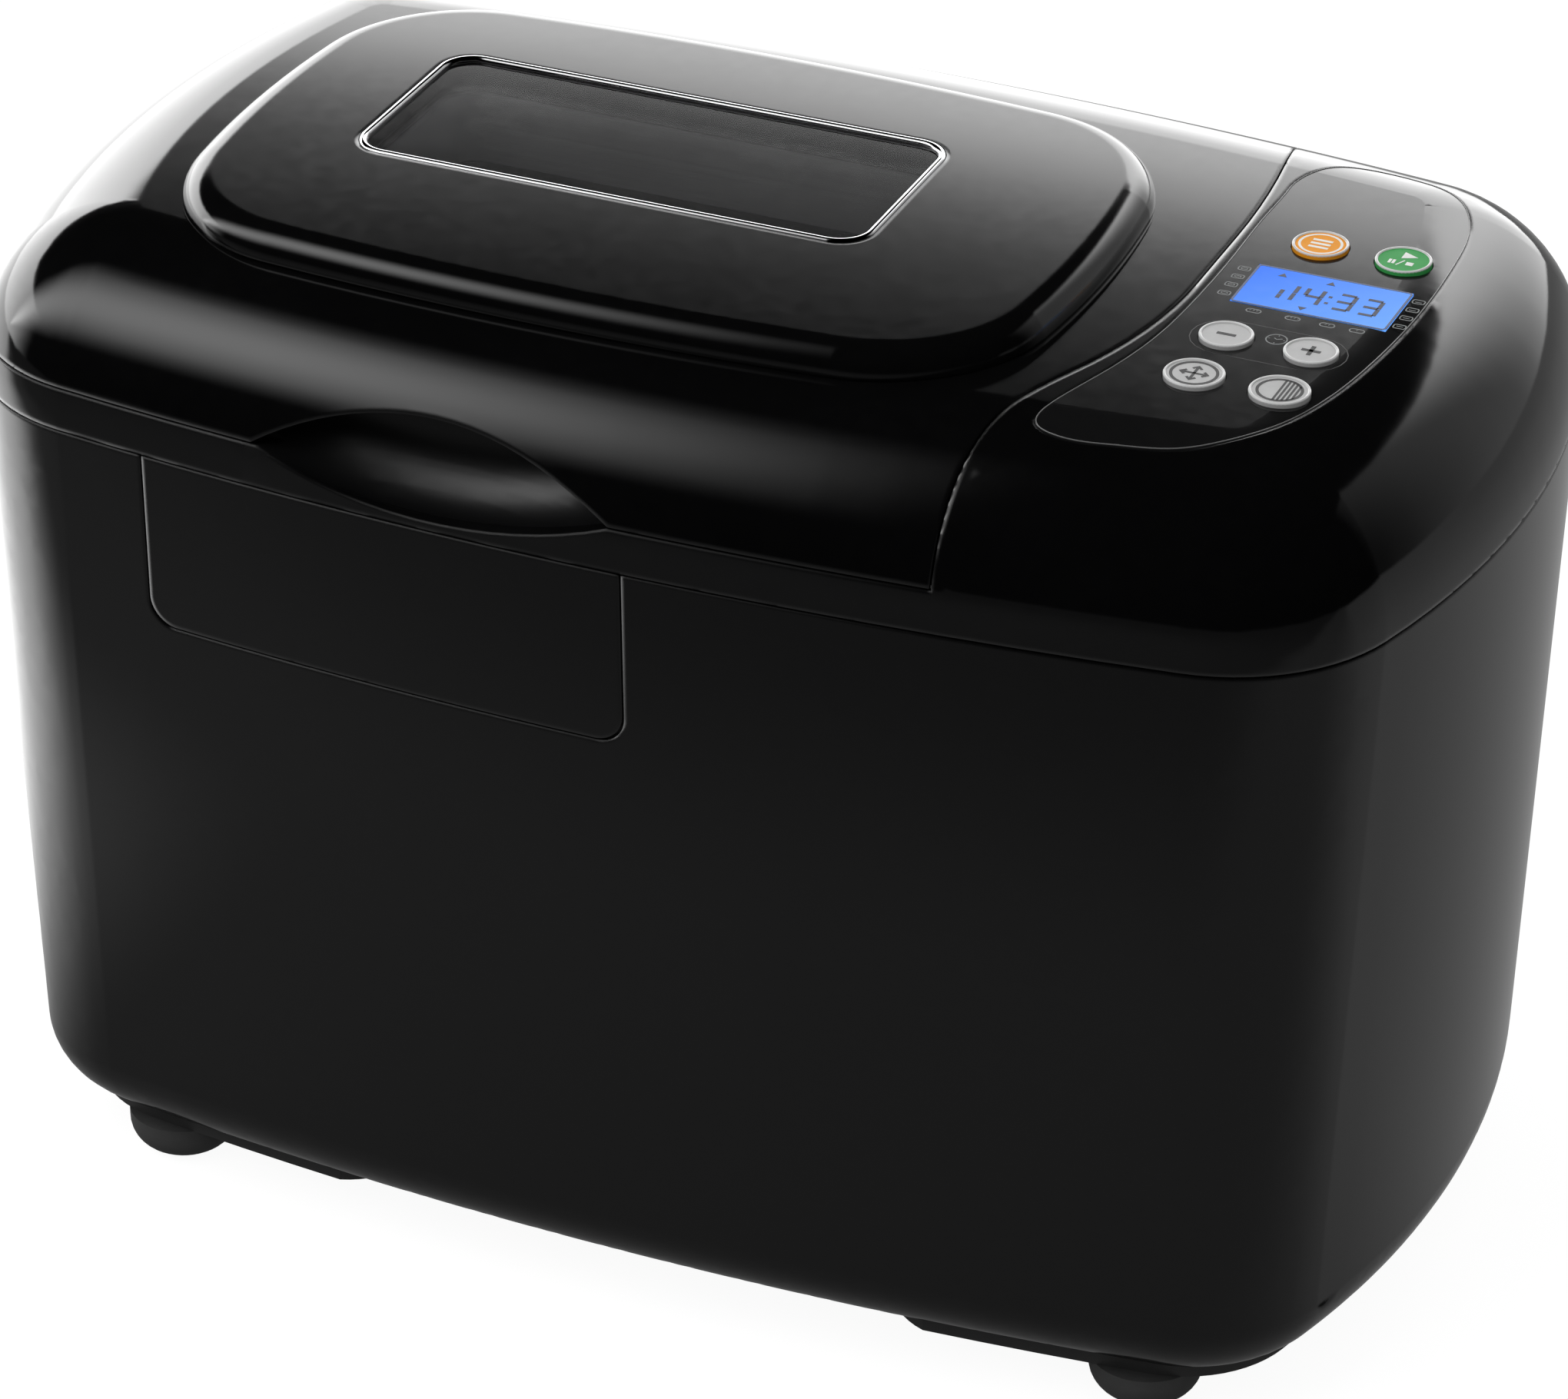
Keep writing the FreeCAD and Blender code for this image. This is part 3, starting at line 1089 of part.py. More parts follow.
base_sheet = bowed_block(
    "base_sheet", "foot_width - 2 * floor_lip + 8", "foot_depth - 2 * floor_lip + 8", BOWS, "foot_corner - 10",
    "3", "foot_line - 3")
base_plug = bowed_block(
    "base_plug", "foot_width - 2 * floor_lip - 0.6", "foot_depth - 2 * floor_lip - 0.6", BOWS, "foot_corner - 12.5",
    "4", "foot_line - 1")
pad_bound = bowed_block(
    "pad_bound", "foot_width - 2 * pad_inset", "foot_depth - 2 * pad_inset", BOWS, "foot_corner - 8",
    "pad_drop + 0.5", "foot_line - pad_drop - 0.5")
pads = []
for tag, x in (("left", "-foot_out"), ("right", "foot_out")):
    block = rounded_block(
        "pad_" + tag, "pad_width", "foot_depth - 2 * pad_inset - 4", "24", "40", (x, "0"), "foot_line - 30")
    pads.append(common("pad_form_" + tag, pad_bound, block))
FEET = [
    ("front_left", "-foot_out", "-foot_forward"), ("front_right", "foot_out", "-foot_forward"),
    ("back_left", "-foot_out", "foot_forward"), ("back_right", "foot_out", "foot_forward"),
]
foot_sockets = []
feet = []
for tag, x, y in FEET:
    dome = rod("foot_" + tag, "foot_radius", "foot_line - pad_drop - 0.5", (x, y, "0"))
    neck = rod("foot_neck_" + tag, "5", "4", (x, y, "foot_line - pad_drop - 1"))
    dome_round = doc.addObject("Part::Fillet", "foot_round_" + tag)
    dome_round.Base = dome
    doc.recompute()
    low_edge = [
        index for index, edge in enumerate(dome.Shape.Edges, start=1)
        if edge.BoundBox.ZMax < 0.01
    ]
    dome_round.Edges = [(index, number("foot_dome"), number("foot_dome")) for index in low_edge]
    feet.append(fuse("foot_solid_" + tag, [dome_round, neck]))
    foot_sockets.append(rod("foot_socket_" + tag, "5.05", "3.6", (x, y, "foot_line - pad_drop - 0.6")))
node("rubber_feet", group("feet_group", feet))
base_vents = slot_row("base_vent", 12, ("4", "60", "20"), ("-66", "0", "foot_line - 10"), "12")
base_passes = []
base_recesses = []
base_screws = []
for index, (x, y) in enumerate(LEGS):
    base_passes.append(rod("base_pass_%d" % index, "2", "30", (x, y, "foot_line - 12")))
    base_recesses.append(rod("base_recess_%d" % index, "4.2", "14", (x, y, "foot_line - 12.5")))
    head = rod("base_head_%d" % index, "3.6", "2.2", (x, y, "foot_line - 0.7"))
    shank = rod("base_shank_%d" % index, "1.85", "11", (x, y, "foot_line + 1"))
    socket = mid_box("base_socket_%d" % index, ("4.4", "1", "1.4"), (x, y), "foot_line - 0.9")
    base_screws.append(cut("base_screw_%d" % index, fuse("base_screw_body_%d" % index, [head, shank]), [socket]))
board_feet = []
for index, (x, y) in enumerate((("86", "58"), ("86", "74"), ("150", "58"), ("150", "74"))):
    board_feet.append(rod("board_foot_%d" % index, "3", "8", (x, y, "foot_line + 2.5")))
node("base_plate", cut(
    "base", fuse("base_body", [base_sheet, base_plug] + pads + board_feet),
    [group("base_vents", base_vents), group("base_passes", base_passes), group("base_recesses", base_recesses),
     group("foot_sockets", foot_sockets)]))
node("base_screws", group("base_screw_group", base_screws))

# Power board and cord gland

POWER_LOW = "foot_line + 10.5"
power_sheet = mid_box("power_sheet", ("74", "28", "board_thick"), ("118", "66"), POWER_LOW)
transformer = mid_box("transformer", ("28", "22", "14"), ("100", "66"), POWER_LOW + " + board_thick - 0.2")
relay = mid_box("relay", ("18", "14", "13"), ("130", "66"), POWER_LOW + " + board_thick - 0.2")
smoother = rod("smoother", "4", "12", ("147", "66", POWER_LOW + " + board_thick - 0.2"))
node("power_board", fuse("power_unit", [power_sheet, transformer, relay, smoother]))

gland_sleeve = rod(
    "gland_sleeve", "gland_bore + 5.4", "18", ("gland_middle", "body_depth / 2 - 26", "gland_height"), "Y")
gland_flange = rod(
    "gland_flange", "gland_bore + 7.5", "2.5", ("gland_middle", "body_depth / 2 - 11.2", "gland_height"), "Y")
gland_hollow = rod("gland_hollow", "gland_bore", "60", ("gland_middle", "body_depth / 2 - 45", "gland_height"), "Y")
node("cord_gland", cut("gland", fuse("gland_body", [gland_sleeve, gland_flange]), [gland_hollow]))

doc.removeObject("Reckoner")
doc.recompute()

faults = []
for thing in doc.Objects:
    if "Invalid" in thing.State or "Error" in thing.State:
        faults.append("%s: %s" % (thing.Name, thing.State))
for thing in NODES:
    shape = thing.Shape
    if shape.isNull() or not shape.isValid():
        faults.append("%s: shape is empty or not valid" % thing.Label)
    elif not shape.Solids:
        faults.append("%s: no solid" % thing.Label)
if faults:
    raise RuntimeError("; ".join(faults))

os.makedirs("parts", exist_ok=True)
for thing in NODES:
    thing.Shape.exportStep("parts/%s.step" % thing.Label)
print("wrote %d sub-parts" % len(NODES))
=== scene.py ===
"""Looks of a two-paddle bread machine, built around its packed construction."""
import logging
import math
from abc import ABC, abstractmethod
from dataclasses import dataclass, field, replace
from enum import Enum
from typing import Sequence, Union

import bmesh
import bpy
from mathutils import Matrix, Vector


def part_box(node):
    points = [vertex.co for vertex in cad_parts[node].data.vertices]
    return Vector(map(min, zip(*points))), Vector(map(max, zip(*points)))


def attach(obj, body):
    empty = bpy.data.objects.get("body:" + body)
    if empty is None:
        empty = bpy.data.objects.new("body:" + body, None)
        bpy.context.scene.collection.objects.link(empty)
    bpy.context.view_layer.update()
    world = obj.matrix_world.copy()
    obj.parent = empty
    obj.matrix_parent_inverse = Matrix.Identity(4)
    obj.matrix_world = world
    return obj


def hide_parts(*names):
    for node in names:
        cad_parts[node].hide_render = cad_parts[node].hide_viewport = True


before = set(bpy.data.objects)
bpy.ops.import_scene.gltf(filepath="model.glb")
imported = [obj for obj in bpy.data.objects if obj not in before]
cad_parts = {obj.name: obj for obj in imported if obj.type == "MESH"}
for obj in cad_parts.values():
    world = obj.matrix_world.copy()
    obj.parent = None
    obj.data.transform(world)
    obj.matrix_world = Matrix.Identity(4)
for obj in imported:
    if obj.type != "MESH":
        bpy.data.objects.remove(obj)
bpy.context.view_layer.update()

MM = 0.001
log = logging.getLogger("bread_machine")

Point = tuple[float, float]
Place = tuple[float, float, float]
Colour = tuple[float, float, float]
Nodes = bpy.types.NodeTree
Socket = bpy.types.NodeSocket
Operand = Union["Value", float]

# Sockets of Blender's Mix node when it mixes colours
MIX_SHARE, MIX_FIRST, MIX_SECOND = 0, 6, 7
MIX_RESULT = 2
BEVEL_SAMPLES = 6


class Body(Enum):
    """Bodies of the frame that pieces ride on."""

    HOUSING = "housing"
    LID = "lid"
    MENU = "key_menu"
    START = "key_start"
    MINUS = "key_minus"
    PLUS = "key_plus"
    SIZE = "key_size"
    COLOUR = "key_colour"


# Shared shader effects


class Value:
    """What a socket of a node tree gives, with sums that add maths nodes."""

    def __init__(self, tree: Nodes, socket: Socket) -> None:
        """Hold the tree and the socket."""
        self.tree = tree
        self.socket = socket

    def feed(self, target: Socket) -> None:
        """Feed another socket."""
        self.tree.links.new(self.socket, target)

    def maths(self, operation: str, *operands: Operand) -> "Value":
        """Add a maths node.

        Args:
            operation: Blender's name of the operation.
            operands: Values or plain numbers.

        Returns:
            The result.
        """
        node = self.tree.nodes.new("ShaderNodeMath")
        node.operation = operation
        for socket, operand in zip(node.inputs, operands):
            set_input(socket, operand)
        return Value(self.tree, node.outputs["Value"])

    def __add__(self, other: Operand) -> "Value":
        """Add a value or number."""
        return self.maths("ADD", self, other)

    def __sub__(self, other: Operand) -> "Value":
        """Take away a value or number."""
        return self.maths("SUBTRACT", self, other)

    def __rsub__(self, other: float) -> "Value":
        """Take the value away from a number."""
        return self.maths("SUBTRACT", other, self)

    def __mul__(self, other: Operand) -> "Value":
        """Multiply by a value or number."""
        return self.maths("MULTIPLY", self, other)

    def __truediv__(self, other: Operand) -> "Value":
        """Divide by a value or number."""
        return self.maths("DIVIDE", self, other)

    def clamped(self) -> "Value":
        """Keep the result of the last sum between 0 and 1."""
        self.socket.node.use_clamp = True
        return self


def set_input(socket: Socket, operand: Operand) -> None:
    """Feed a socket from a value, or set it to a number.

    Args:
        socket: The socket.
        operand: Value or number.
    """
    if isinstance(operand, Value):
        operand.feed(socket)
    else:
        socket.default_value = operand


def outputs_of(node: bpy.types.Node) -> dict[str, Value]:
    """Give what a node puts out, by the names of its sockets."""
    return {socket.name: Value(node.id_data, socket) for socket in node.outputs}


def add_noise(tree: Nodes, scale: Operand, detail: float, rough: float = 0.5,
              place: Union[Socket, None] = None) -> Value:
    """Add a noise texture.

    Args:
        tree: Tree that gets the nodes.
        scale: Scale of the pattern, a value or a number.
        detail: Number of finer layers.
        rough: Strength of the finer layers.
        place: Coordinates of the pattern, Object coordinates if none are given.

    Returns:
        The noise.
    """
    if place is None:
        place = tree.nodes.new("ShaderNodeTexCoord").outputs["Object"]
    noise = tree.nodes.new("ShaderNodeTexNoise")
    noise.inputs["Detail"].default_value = detail
    noise.inputs["Roughness"].default_value = rough
    tree.links.new(place, noise.inputs["Vector"])
    set_input(noise.inputs["Scale"], scale)
    return Value(tree, noise.outputs["Fac"])


def split_place(tree: Nodes, coordinates: str = "Object") -> tuple[Value, ...]:
    """Give the three coordinates of the shaded point.

    Args:
        tree: Tree that gets the nodes.
        coordinates: Blender's name of the coordinates.

    Returns:
        X, Y and Z.
    """
    place = tree.nodes.new("ShaderNodeTexCoord")
    split = tree.nodes.new("ShaderNodeSeparateXYZ")
    tree.links.new(place.outputs[coordinates], split.inputs["Vector"])
    return tuple(outputs_of(split).values())


def mix_colours(mask: Value, first: Colour, second: Colour) -> Value:
    """Mix two colours by a mask.

    Args:
        mask: Share of the second colour.
        first: Colour where the mask is 0.
        second: Colour where the mask is 1.

    Returns:
        The mixed colour.
    """
    mix = mask.tree.nodes.new("ShaderNodeMix")
    mix.data_type = "RGBA"
    mix.inputs[MIX_FIRST].default_value = (*first, 1.0)
    mix.inputs[MIX_SECOND].default_value = (*second, 1.0)
    mask.feed(mix.inputs[MIX_SHARE])
    return Value(mask.tree, mix.outputs[MIX_RESULT])


def new_group(name: str, inputs: dict[str, float], *outputs: str) -> tuple[
        Nodes, dict[str, Value], bpy.types.NodeInputs]:
    """Start a shader node group with named number sockets.

    Args:
        name: Name of the group.
        inputs: Default values by socket name.
        outputs: Names of the value outputs.

    Returns:
        The group's node tree, its inputs, and the sockets that take its outputs.
    """
    tree = bpy.data.node_groups.new(name, "ShaderNodeTree")
    for label, default in inputs.items():
        socket = tree.interface.new_socket(label, in_out="INPUT", socket_type="NodeSocketFloat")
        socket.default_value = default
    for label in outputs:
        tree.interface.new_socket(label, in_out="OUTPUT", socket_type="NodeSocketFloat")
    given = outputs_of(tree.nodes.new("NodeGroupInput"))
    return tree, given, tree.nodes.new("NodeGroupOutput").inputs


class SharedEffects:
    """Node groups that several finishes use."""

    def __init__(self) -> None:
        """Build every group once."""
        self.moulded = self.build_moulded()
        self.handled = self.build_handled()
        self.brushed = self.build_brushed()
        self.speckled = self.build_speckled()

    @staticmethod
    def build_moulded() -> Nodes:
        """Build the gentle waviness and fine grain of a moulded surface.

        Returns:
            The group, which puts out a height.
        """
        inputs = {"Wave Scale": 40.0, "Grain Scale": 900.0, "Grain": 0.2}
        tree, given, result = new_group("moulded_skin", inputs, "Height")
        wave = add_noise(tree, given["Wave Scale"], 1.0)
        grain = add_noise(tree, given["Grain Scale"], 3.0)
        (wave + grain * given["Grain"]).feed(result["Height"])
        return tree

    @staticmethod
    def build_handled() -> Nodes:
        """Build a roughness that varies a little where a surface has been wiped and touched.

        Returns:
            The group, which puts out the roughness and its mask.
        """
        inputs = {"Scale": 14.0, "Fine Scale": 260.0, "Low": 0.05, "High": 0.12}
        tree, given, result = new_group("handled_gloss", inputs, "Roughness", "Mask")
        broad = add_noise(tree, given["Scale"], 4.0, 0.6)
        fine = add_noise(tree, given["Fine Scale"], 2.0)
        mask = ((broad * fine).clamped() * 2.0).clamped()
        (mask * (given["High"] - given["Low"]) + given["Low"]).feed(result["Roughness"])
        mask.feed(result["Mask"])
        return tree

    @staticmethod
    def build_brushed() -> Nodes:
        """Build the long fine scratches of rolled or brushed metal, along X.

        Returns:
            The group, which puts out a height.
        """
        tree, given, result = new_group("brushed_lines", {"Along": 6.0, "Across": 1400.0}, "Height")
        coordinates = tree.nodes.new("ShaderNodeTexCoord")
        stretch = tree.nodes.new("ShaderNodeCombineXYZ")
        for label, axis in (("Along", "X"), ("Across", "Y"), ("Across", "Z")):
            given[label].feed(stretch.inputs[axis])
        scaled = tree.nodes.new("ShaderNodeVectorMath")
        scaled.operation = "MULTIPLY"
        tree.links.new(coordinates.outputs["Object"], scaled.inputs[0])
        tree.links.new(stretch.outputs["Vector"], scaled.inputs[1])
        add_noise(tree, 1.0, 3.0, place=scaled.outputs["Vector"]).feed(result["Height"])
        return tree

    @staticmethod
    def build_speckled() -> Nodes:
        """Build the small flecks in a sprayed coat.

        Returns:
            The group, which puts out a mask.
        """
        inputs = {"Scale": 700.0, "Level": 0.62, "Sharpness": 9.0}
        tree, given, result = new_group("speckled_coat", inputs, "Mask")
        flecks = add_noise(tree, given["Scale"], 2.0)
        ((flecks - given["Level"]) * given["Sharpness"]).clamped().feed(result["Mask"])
        return tree


EFFECTS = SharedEffects()


class MaterialTree:
    """A material under construction around one Principled shader."""

    def __init__(self, name: str) -> None:
        """Start the material.

        Args:
            name: Its name.
        """
        self.material = bpy.data.materials.new(name)
        self.material.use_nodes = True
        self.tree = self.material.node_tree
        self.shader = self.tree.nodes["Principled BSDF"]

    def set(self, **values: float) -> None:
        """Set constant numbers on the shader, socket names written with underscores."""
        for label, value in values.items():
            self.shader.inputs[label.replace("_", " ")].default_value = value

    def effect(self, group: Nodes, **values: float) -> dict[str, Value]:
        """Place a shared effect with its own values.

        Args:
            group: The effect's node group.
            values: Input values, names written with underscores.

        Returns:
            What the effect puts out.
        """
        node = self.tree.nodes.new("ShaderNodeGroup")
        node.node_tree = group
        for label, value in values.items():
            node.inputs[label.replace("_", " ")].default_value = value
        return outputs_of(node)

    def link(self, source: Value, label: str) -> None:
        """Feed one of the shader's sockets."""
        source.feed(self.shader.inputs[label])

    def blend(self, mask: Value, first: Colour, second: Colour) -> None:
        """Colour the surface between two colours by a mask."""
        self.link(mix_colours(mask, first, second), "Base Color")

    def bump(self, height: Value, strength: float, distance: float, edge: float = 0.0) -> None:
        """Raise the surface by a height.

        Args:
            height: The height.
            strength: Share of the height that shows.
            distance: Height in metres.
            edge: Radius in metres that sharp edges look rounded by, 0 for none.
        """
        node = self.tree.nodes.new("ShaderNodeBump")
        node.inputs["Strength"].default_value = strength
        node.inputs["Distance"].default_value = distance
        height.feed(node.inputs["Height"])
        if edge:
            rounding = self.tree.nodes.new("ShaderNodeBevel")
            rounding.samples = BEVEL_SAMPLES
            rounding.inputs["Radius"].default_value = edge
            self.tree.links.new(rounding.outputs["Normal"], node.inputs["Normal"])
        self.link(outputs_of(node)["Normal"], "Normal")


# Finishes


@dataclass(frozen=True)
class Finish(ABC):
    """What every finish has: a name, two colours, and the lowest and highest roughness."""

    name: str
    colour: Colour
    shade: Colour
    gloss: Point

    def material(self) -> bpy.types.Material:
        """Build the material.

        Returns:
            The material.
        """
        made = MaterialTree(self.name)
        touch = made.effect(EFFECTS.handled, Low=self.gloss[0], High=self.gloss[1])
        made.link(touch["Roughness"], "Roughness")
        self.dress(made, touch["Roughness"], touch["Mask"])
        return made.material

    @abstractmethod
    def dress(self, made: MaterialTree, rough: Value, mask: Value) -> None:
        """Add what is particular to the kind of finish.

        Args:
            made: Material under construction.
            rough: Its roughness.
            mask: Where it has been touched.
        """


@dataclass(frozen=True)
class Grip:
    """Hollow whose gloss is rubbed to satin by fingers, given by two corners in metres."""

    low: Place
    high: Place
    satin: float
    fade: float = 0.002

    def soften(self, made: MaterialTree, rough: Value) -> Value:
        """Mix the satin into a roughness.

        Args:
            made: Material under construction.
            rough: Roughness of the rest of the surface.

        Returns:
            The mixed roughness.
        """
        change = self.satin - rough
        for along, low, high in zip(split_place(made.tree), self.low, self.high):
            inside = along.maths("MINIMUM", along - low, high - along)
            change = change * (inside / self.fade).clamped()
        return rough + change


@dataclass(frozen=True)
class MouldedFinish(Finish):
    """Moulded plastic or rubber: a colour that varies slightly, gloss that varies, a fine skin."""

    specular: float = 0.5
    wave: float = 40.0
    grain: float = 0.15
    strength: float = 0.35
    relief: float = 0.00002
    edge: float = 0.0
    grip: Union[Grip, None] = None

    def dress(self, made: MaterialTree, rough: Value, mask: Value) -> None:
        """Add the skin, and the satin of a grip.

        Args:
            made: Material under construction.
            rough: Its roughness.
            mask: Where it has been touched.
        """
        if self.grip:
            made.link(self.grip.soften(made, rough), "Roughness")
        made.blend(mask, self.colour, self.shade)
        skin = made.effect(EFFECTS.moulded, Wave_Scale=self.wave, Grain=self.grain)
        made.bump(skin["Height"], self.strength, self.relief, self.edge)
        made.set(Specular_IOR_Level=self.specular)


@dataclass(frozen=True)
class MetalFinish(Finish):
    """Bare or plated metal with brushed lines."""

    metallic: float = 1.0
    strength: float = 0.3
    relief: float = 0.00001
    across: float = 1400.0

    def dress(self, made: MaterialTree, rough: Value, mask: Value) -> None:
        """Add the brushed lines.

        Args:
            made: Material under construction.
            rough: Its roughness, not used.
            mask: Where it has been touched, not used.
        """
        lines = made.effect(EFFECTS.brushed, Across=self.across)
        made.blend(lines["Height"], self.colour, self.shade)
        made.bump(lines["Height"], self.strength, self.relief)
        made.set(Metallic=self.metallic)


@dataclass(frozen=True)
class CoatFinish(Finish):
    """Sprayed coat with small flecks of the second colour."""

    wave: float = 300.0
    grain: float = 0.6
    strength: float = 0.4
    relief: float = 0.00003

    def dress(self, made: MaterialTree, rough: Value, mask: Value) -> None:
        """Add the flecks and the skin.

        Args:
            made: Material under construction.
            rough: Its roughness, not used.
            mask: Where it has been touched, not used.
        """
        made.blend(made.effect(EFFECTS.speckled)["Mask"], self.colour, self.shade)
        skin = made.effect(EFFECTS.moulded, Wave_Scale=self.wave, Grain=self.grain)
        made.bump(skin["Height"], self.strength, self.relief)


@dataclass(frozen=True)
class GlassFinish(Finish):
    """Smoked clear pane, paler where it has been touched."""

    density: float

    def dress(self, made: MaterialTree, rough: Value, mask: Value) -> None:
        """Add the smoke."""
        made.blend(mask, self.colour, self.shade)
        made.set(Alpha=self.density)


@dataclass(frozen=True)
class DisplayFinish(Finish):
    """Lit display: light that goes from the first colour at one corner to the second at the other."""

    corner: Point
    reach: float
    unlit: Colour = (0.004, 0.012, 0.04)
    glow: float = 0.95
    specular: float = 0.1

    def dress(self, made: MaterialTree, rough: Value, mask: Value) -> None:
        """Add the light.

        Args:
            made: Material under construction.
            rough: Its roughness, not used.
            mask: Where it has been touched, not used.
        """
        x, y, _ = split_place(made.tree)
        along, across = x - self.corner[0], self.corner[1] - y
        share = ((along + across) / self.reach).clamped()
        made.link(mix_colours(share, self.colour, self.shade), "Emission Color")
        made.shader.inputs["Base Color"].default_value = (*self.unlit, 1.0)
        made.set(Emission_Strength=self.glow, Specular_IOR_Level=self.specular)


def grey(level: float) -> Colour:
    """Give a neutral grey."""
    return level, level, level


SCOOP = Grip((-0.1, -0.1222, 0.236), (0.01, -0.1, 0.264), 0.34)

BLACK_GLOSS = MouldedFinish(
    "black_gloss", (0.0016, 0.0016, 0.0017), (0.0028, 0.0028, 0.0029), (0.055, 0.075), wave=26.0,
    grain=0.02, relief=0.00001, edge=0.0016)
COLLAR_GLOSS = replace(BLACK_GLOSS, name="collar_gloss", grip=SCOOP)
BASE_BLACK = MouldedFinish(
    "base_black", grey(0.024), grey(0.034), (0.4, 0.55), grain=0.8, relief=0.00008)
FILM_BLACK = MouldedFinish(
    "film_black", (0.0055, 0.0055, 0.0057), grey(0.008), (0.06, 0.09), specular=0.4, grain=0.05,
    relief=0.00001)
FOOT_RUBBER = MouldedFinish(
    "foot_rubber", grey(0.05), grey(0.07), (0.5, 0.68), specular=0.35, grain=1.0,
    relief=0.00012)
BELT_RUBBER = MouldedFinish(
    "belt_rubber", grey(0.012), grey(0.02), (0.6, 0.8), grain=1.0, relief=0.0001)
KEY_ORANGE = MouldedFinish(
    "key_orange", (0.86, 0.34, 0.02), (0.8, 0.3, 0.018), (0.3, 0.42), specular=0.06, grain=0.3)
KEY_GREEN = MouldedFinish(
    "key_green", (0.05, 0.36, 0.09), (0.04, 0.31, 0.075), (0.3, 0.42), specular=0.06, grain=0.3)
KEY_GREY = MouldedFinish("key_grey", grey(0.4), grey(0.34), (0.3, 0.4), grain=0.4)
# Pale grey of the keys' rounded rims: a painted highlight along each rim
RIM_HIGHLIGHT = MouldedFinish("key_rim_highlight", grey(0.62), grey(0.55), (0.16, 0.24), grain=0.2)
SIGN_DARK = MouldedFinish("sign_dark", grey(0.02), grey(0.03), (0.4, 0.5), specular=0.2)
SIGN_WHITE = MouldedFinish("sign_white", (0.86, 0.86, 0.84), (0.8, 0.8, 0.78), (0.4, 0.5), specular=0.2)
SIGN_GREY = MouldedFinish("sign_grey", (0.2, 0.21, 0.21), (0.17, 0.18, 0.18), (0.4, 0.5), specular=0.2)
SIGN_FAINT = MouldedFinish("sign_faint", grey(0.035), grey(0.03), (0.4, 0.5), specular=0.2)
# Light grey of the film's rounded edge: a painted highlight along the edge
FILM_EDGE_HIGHLIGHT = MouldedFinish("film_edge", grey(0.12), grey(0.09), (0.2, 0.3))
DISPLAY_RIM = MouldedFinish("display_rim", (0.02, 0.05, 0.16), (0.015, 0.04, 0.13), (0.2, 0.3), specular=0.3)
DISPLAY_DARK = MouldedFinish(
    "display_segment", (0.012, 0.02, 0.06), (0.01, 0.016, 0.05), (0.3, 0.4), specular=0.2)
SWITCH_DARK = MouldedFinish("switch_dark", (0.03, 0.03, 0.032), grey(0.05), (0.45, 0.6), grain=0.6)
PULLEY_NATURAL = MouldedFinish("pulley_natural", (0.6, 0.59, 0.54), (0.5, 0.49, 0.45), (0.35, 0.5), grain=0.5)
CIRCUIT_GREEN = MouldedFinish("circuit_green", (0.02, 0.13, 0.045), (0.03, 0.2, 0.07), (0.25, 0.4), grain=0.5)
CHROME = MetalFinish("bright_trim", (0.8, 0.8, 0.81), (0.72, 0.72, 0.73), (0.05, 0.12), relief=0.000002)
LINER_METAL = MetalFinish("liner_metal", (0.58, 0.58, 0.59), (0.42, 0.42, 0.43), (0.25, 0.4), metallic=0.45)
STEEL = MetalFinish("shaft_steel", (0.56, 0.56, 0.57), (0.42, 0.42, 0.43), (0.2, 0.35))
BRASS = MetalFinish("bush_brass", (0.62, 0.44, 0.17), (0.5, 0.34, 0.12), (0.22, 0.36))
CAST = MetalFinish("coupling_cast", (0.42, 0.42, 0.43), (0.34, 0.34, 0.35), (0.4, 0.55), across=400.0)
SHEATH = MetalFinish("element_sheath", (0.16, 0.145, 0.13), (0.09, 0.08, 0.075), (0.35, 0.5))
ZINC = MetalFinish("chassis_zinc", (0.46, 0.47, 0.47), (0.36, 0.37, 0.38), (0.3, 0.45))
PAN_COAT = CoatFinish("pan_coat", (0.03, 0.03, 0.031), grey(0.11), (0.32, 0.45))
SMOKED = GlassFinish("smoked_glass", (0.006, 0.006, 0.0065), grey(0.012), (0.02, 0.07), 0.4)


class Paint:
    """Materials made once for each finish."""

    def __init__(self) -> None:
        """Start with none."""
        self.made: dict[str, bpy.types.Material] = {}

    def of(self, finish: Finish) -> bpy.types.Material:
        """Give the material of a finish, made at its first use.

        Args:
            finish: The finish.

        Returns:
            Its material.
        """
        if finish.name not in self.made:
            self.made[finish.name] = finish.material()
        return self.made[finish.name]


PAINT = Paint()


# Pieces of the frame


def node_box(name: str) -> tuple[Vector, Vector]:
    """Give the lowest and highest corner of a node, in millimetres."""
    low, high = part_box(name)
    return low / MM, high / MM


def node_middle(name: str) -> Point:
    """Give the middle of a node seen from above, in millimetres."""
    low, high = node_box(name)
    return (low.x + high.x) / 2, (low.y + high.y) / 2


def node_size(name: str) -> Point:
    """Give the width and depth of a node, in millimetres."""
    low, high = node_box(name)
    return high.x - low.x, high.y - low.y


def node_top(name: str) -> float:
    """Give the height of a node's top, in millimetres."""
    return node_box(name)[1].z


def dress_node(name: str, finish: Finish) -> None:
    """Give a carried-over node of the frame its finish.

    Args:
        name: Name of the node.
        finish: The finish.
    """
    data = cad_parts[name].data
    data.materials.clear()
    data.materials.append(PAINT.of(finish))
    log.info("%s: %s", name, finish.name)


@dataclass(frozen=True)
class SubAssembly:
    """Nodes of the frame that belong together, under their finishes."""

    finishes: tuple[tuple[Finish, tuple[str, ...]], ...]

    def dress(self) -> None:
        """Give every node its finish."""
        for finish, names in self.finishes:
            for name in names:
                dress_node(name, finish)


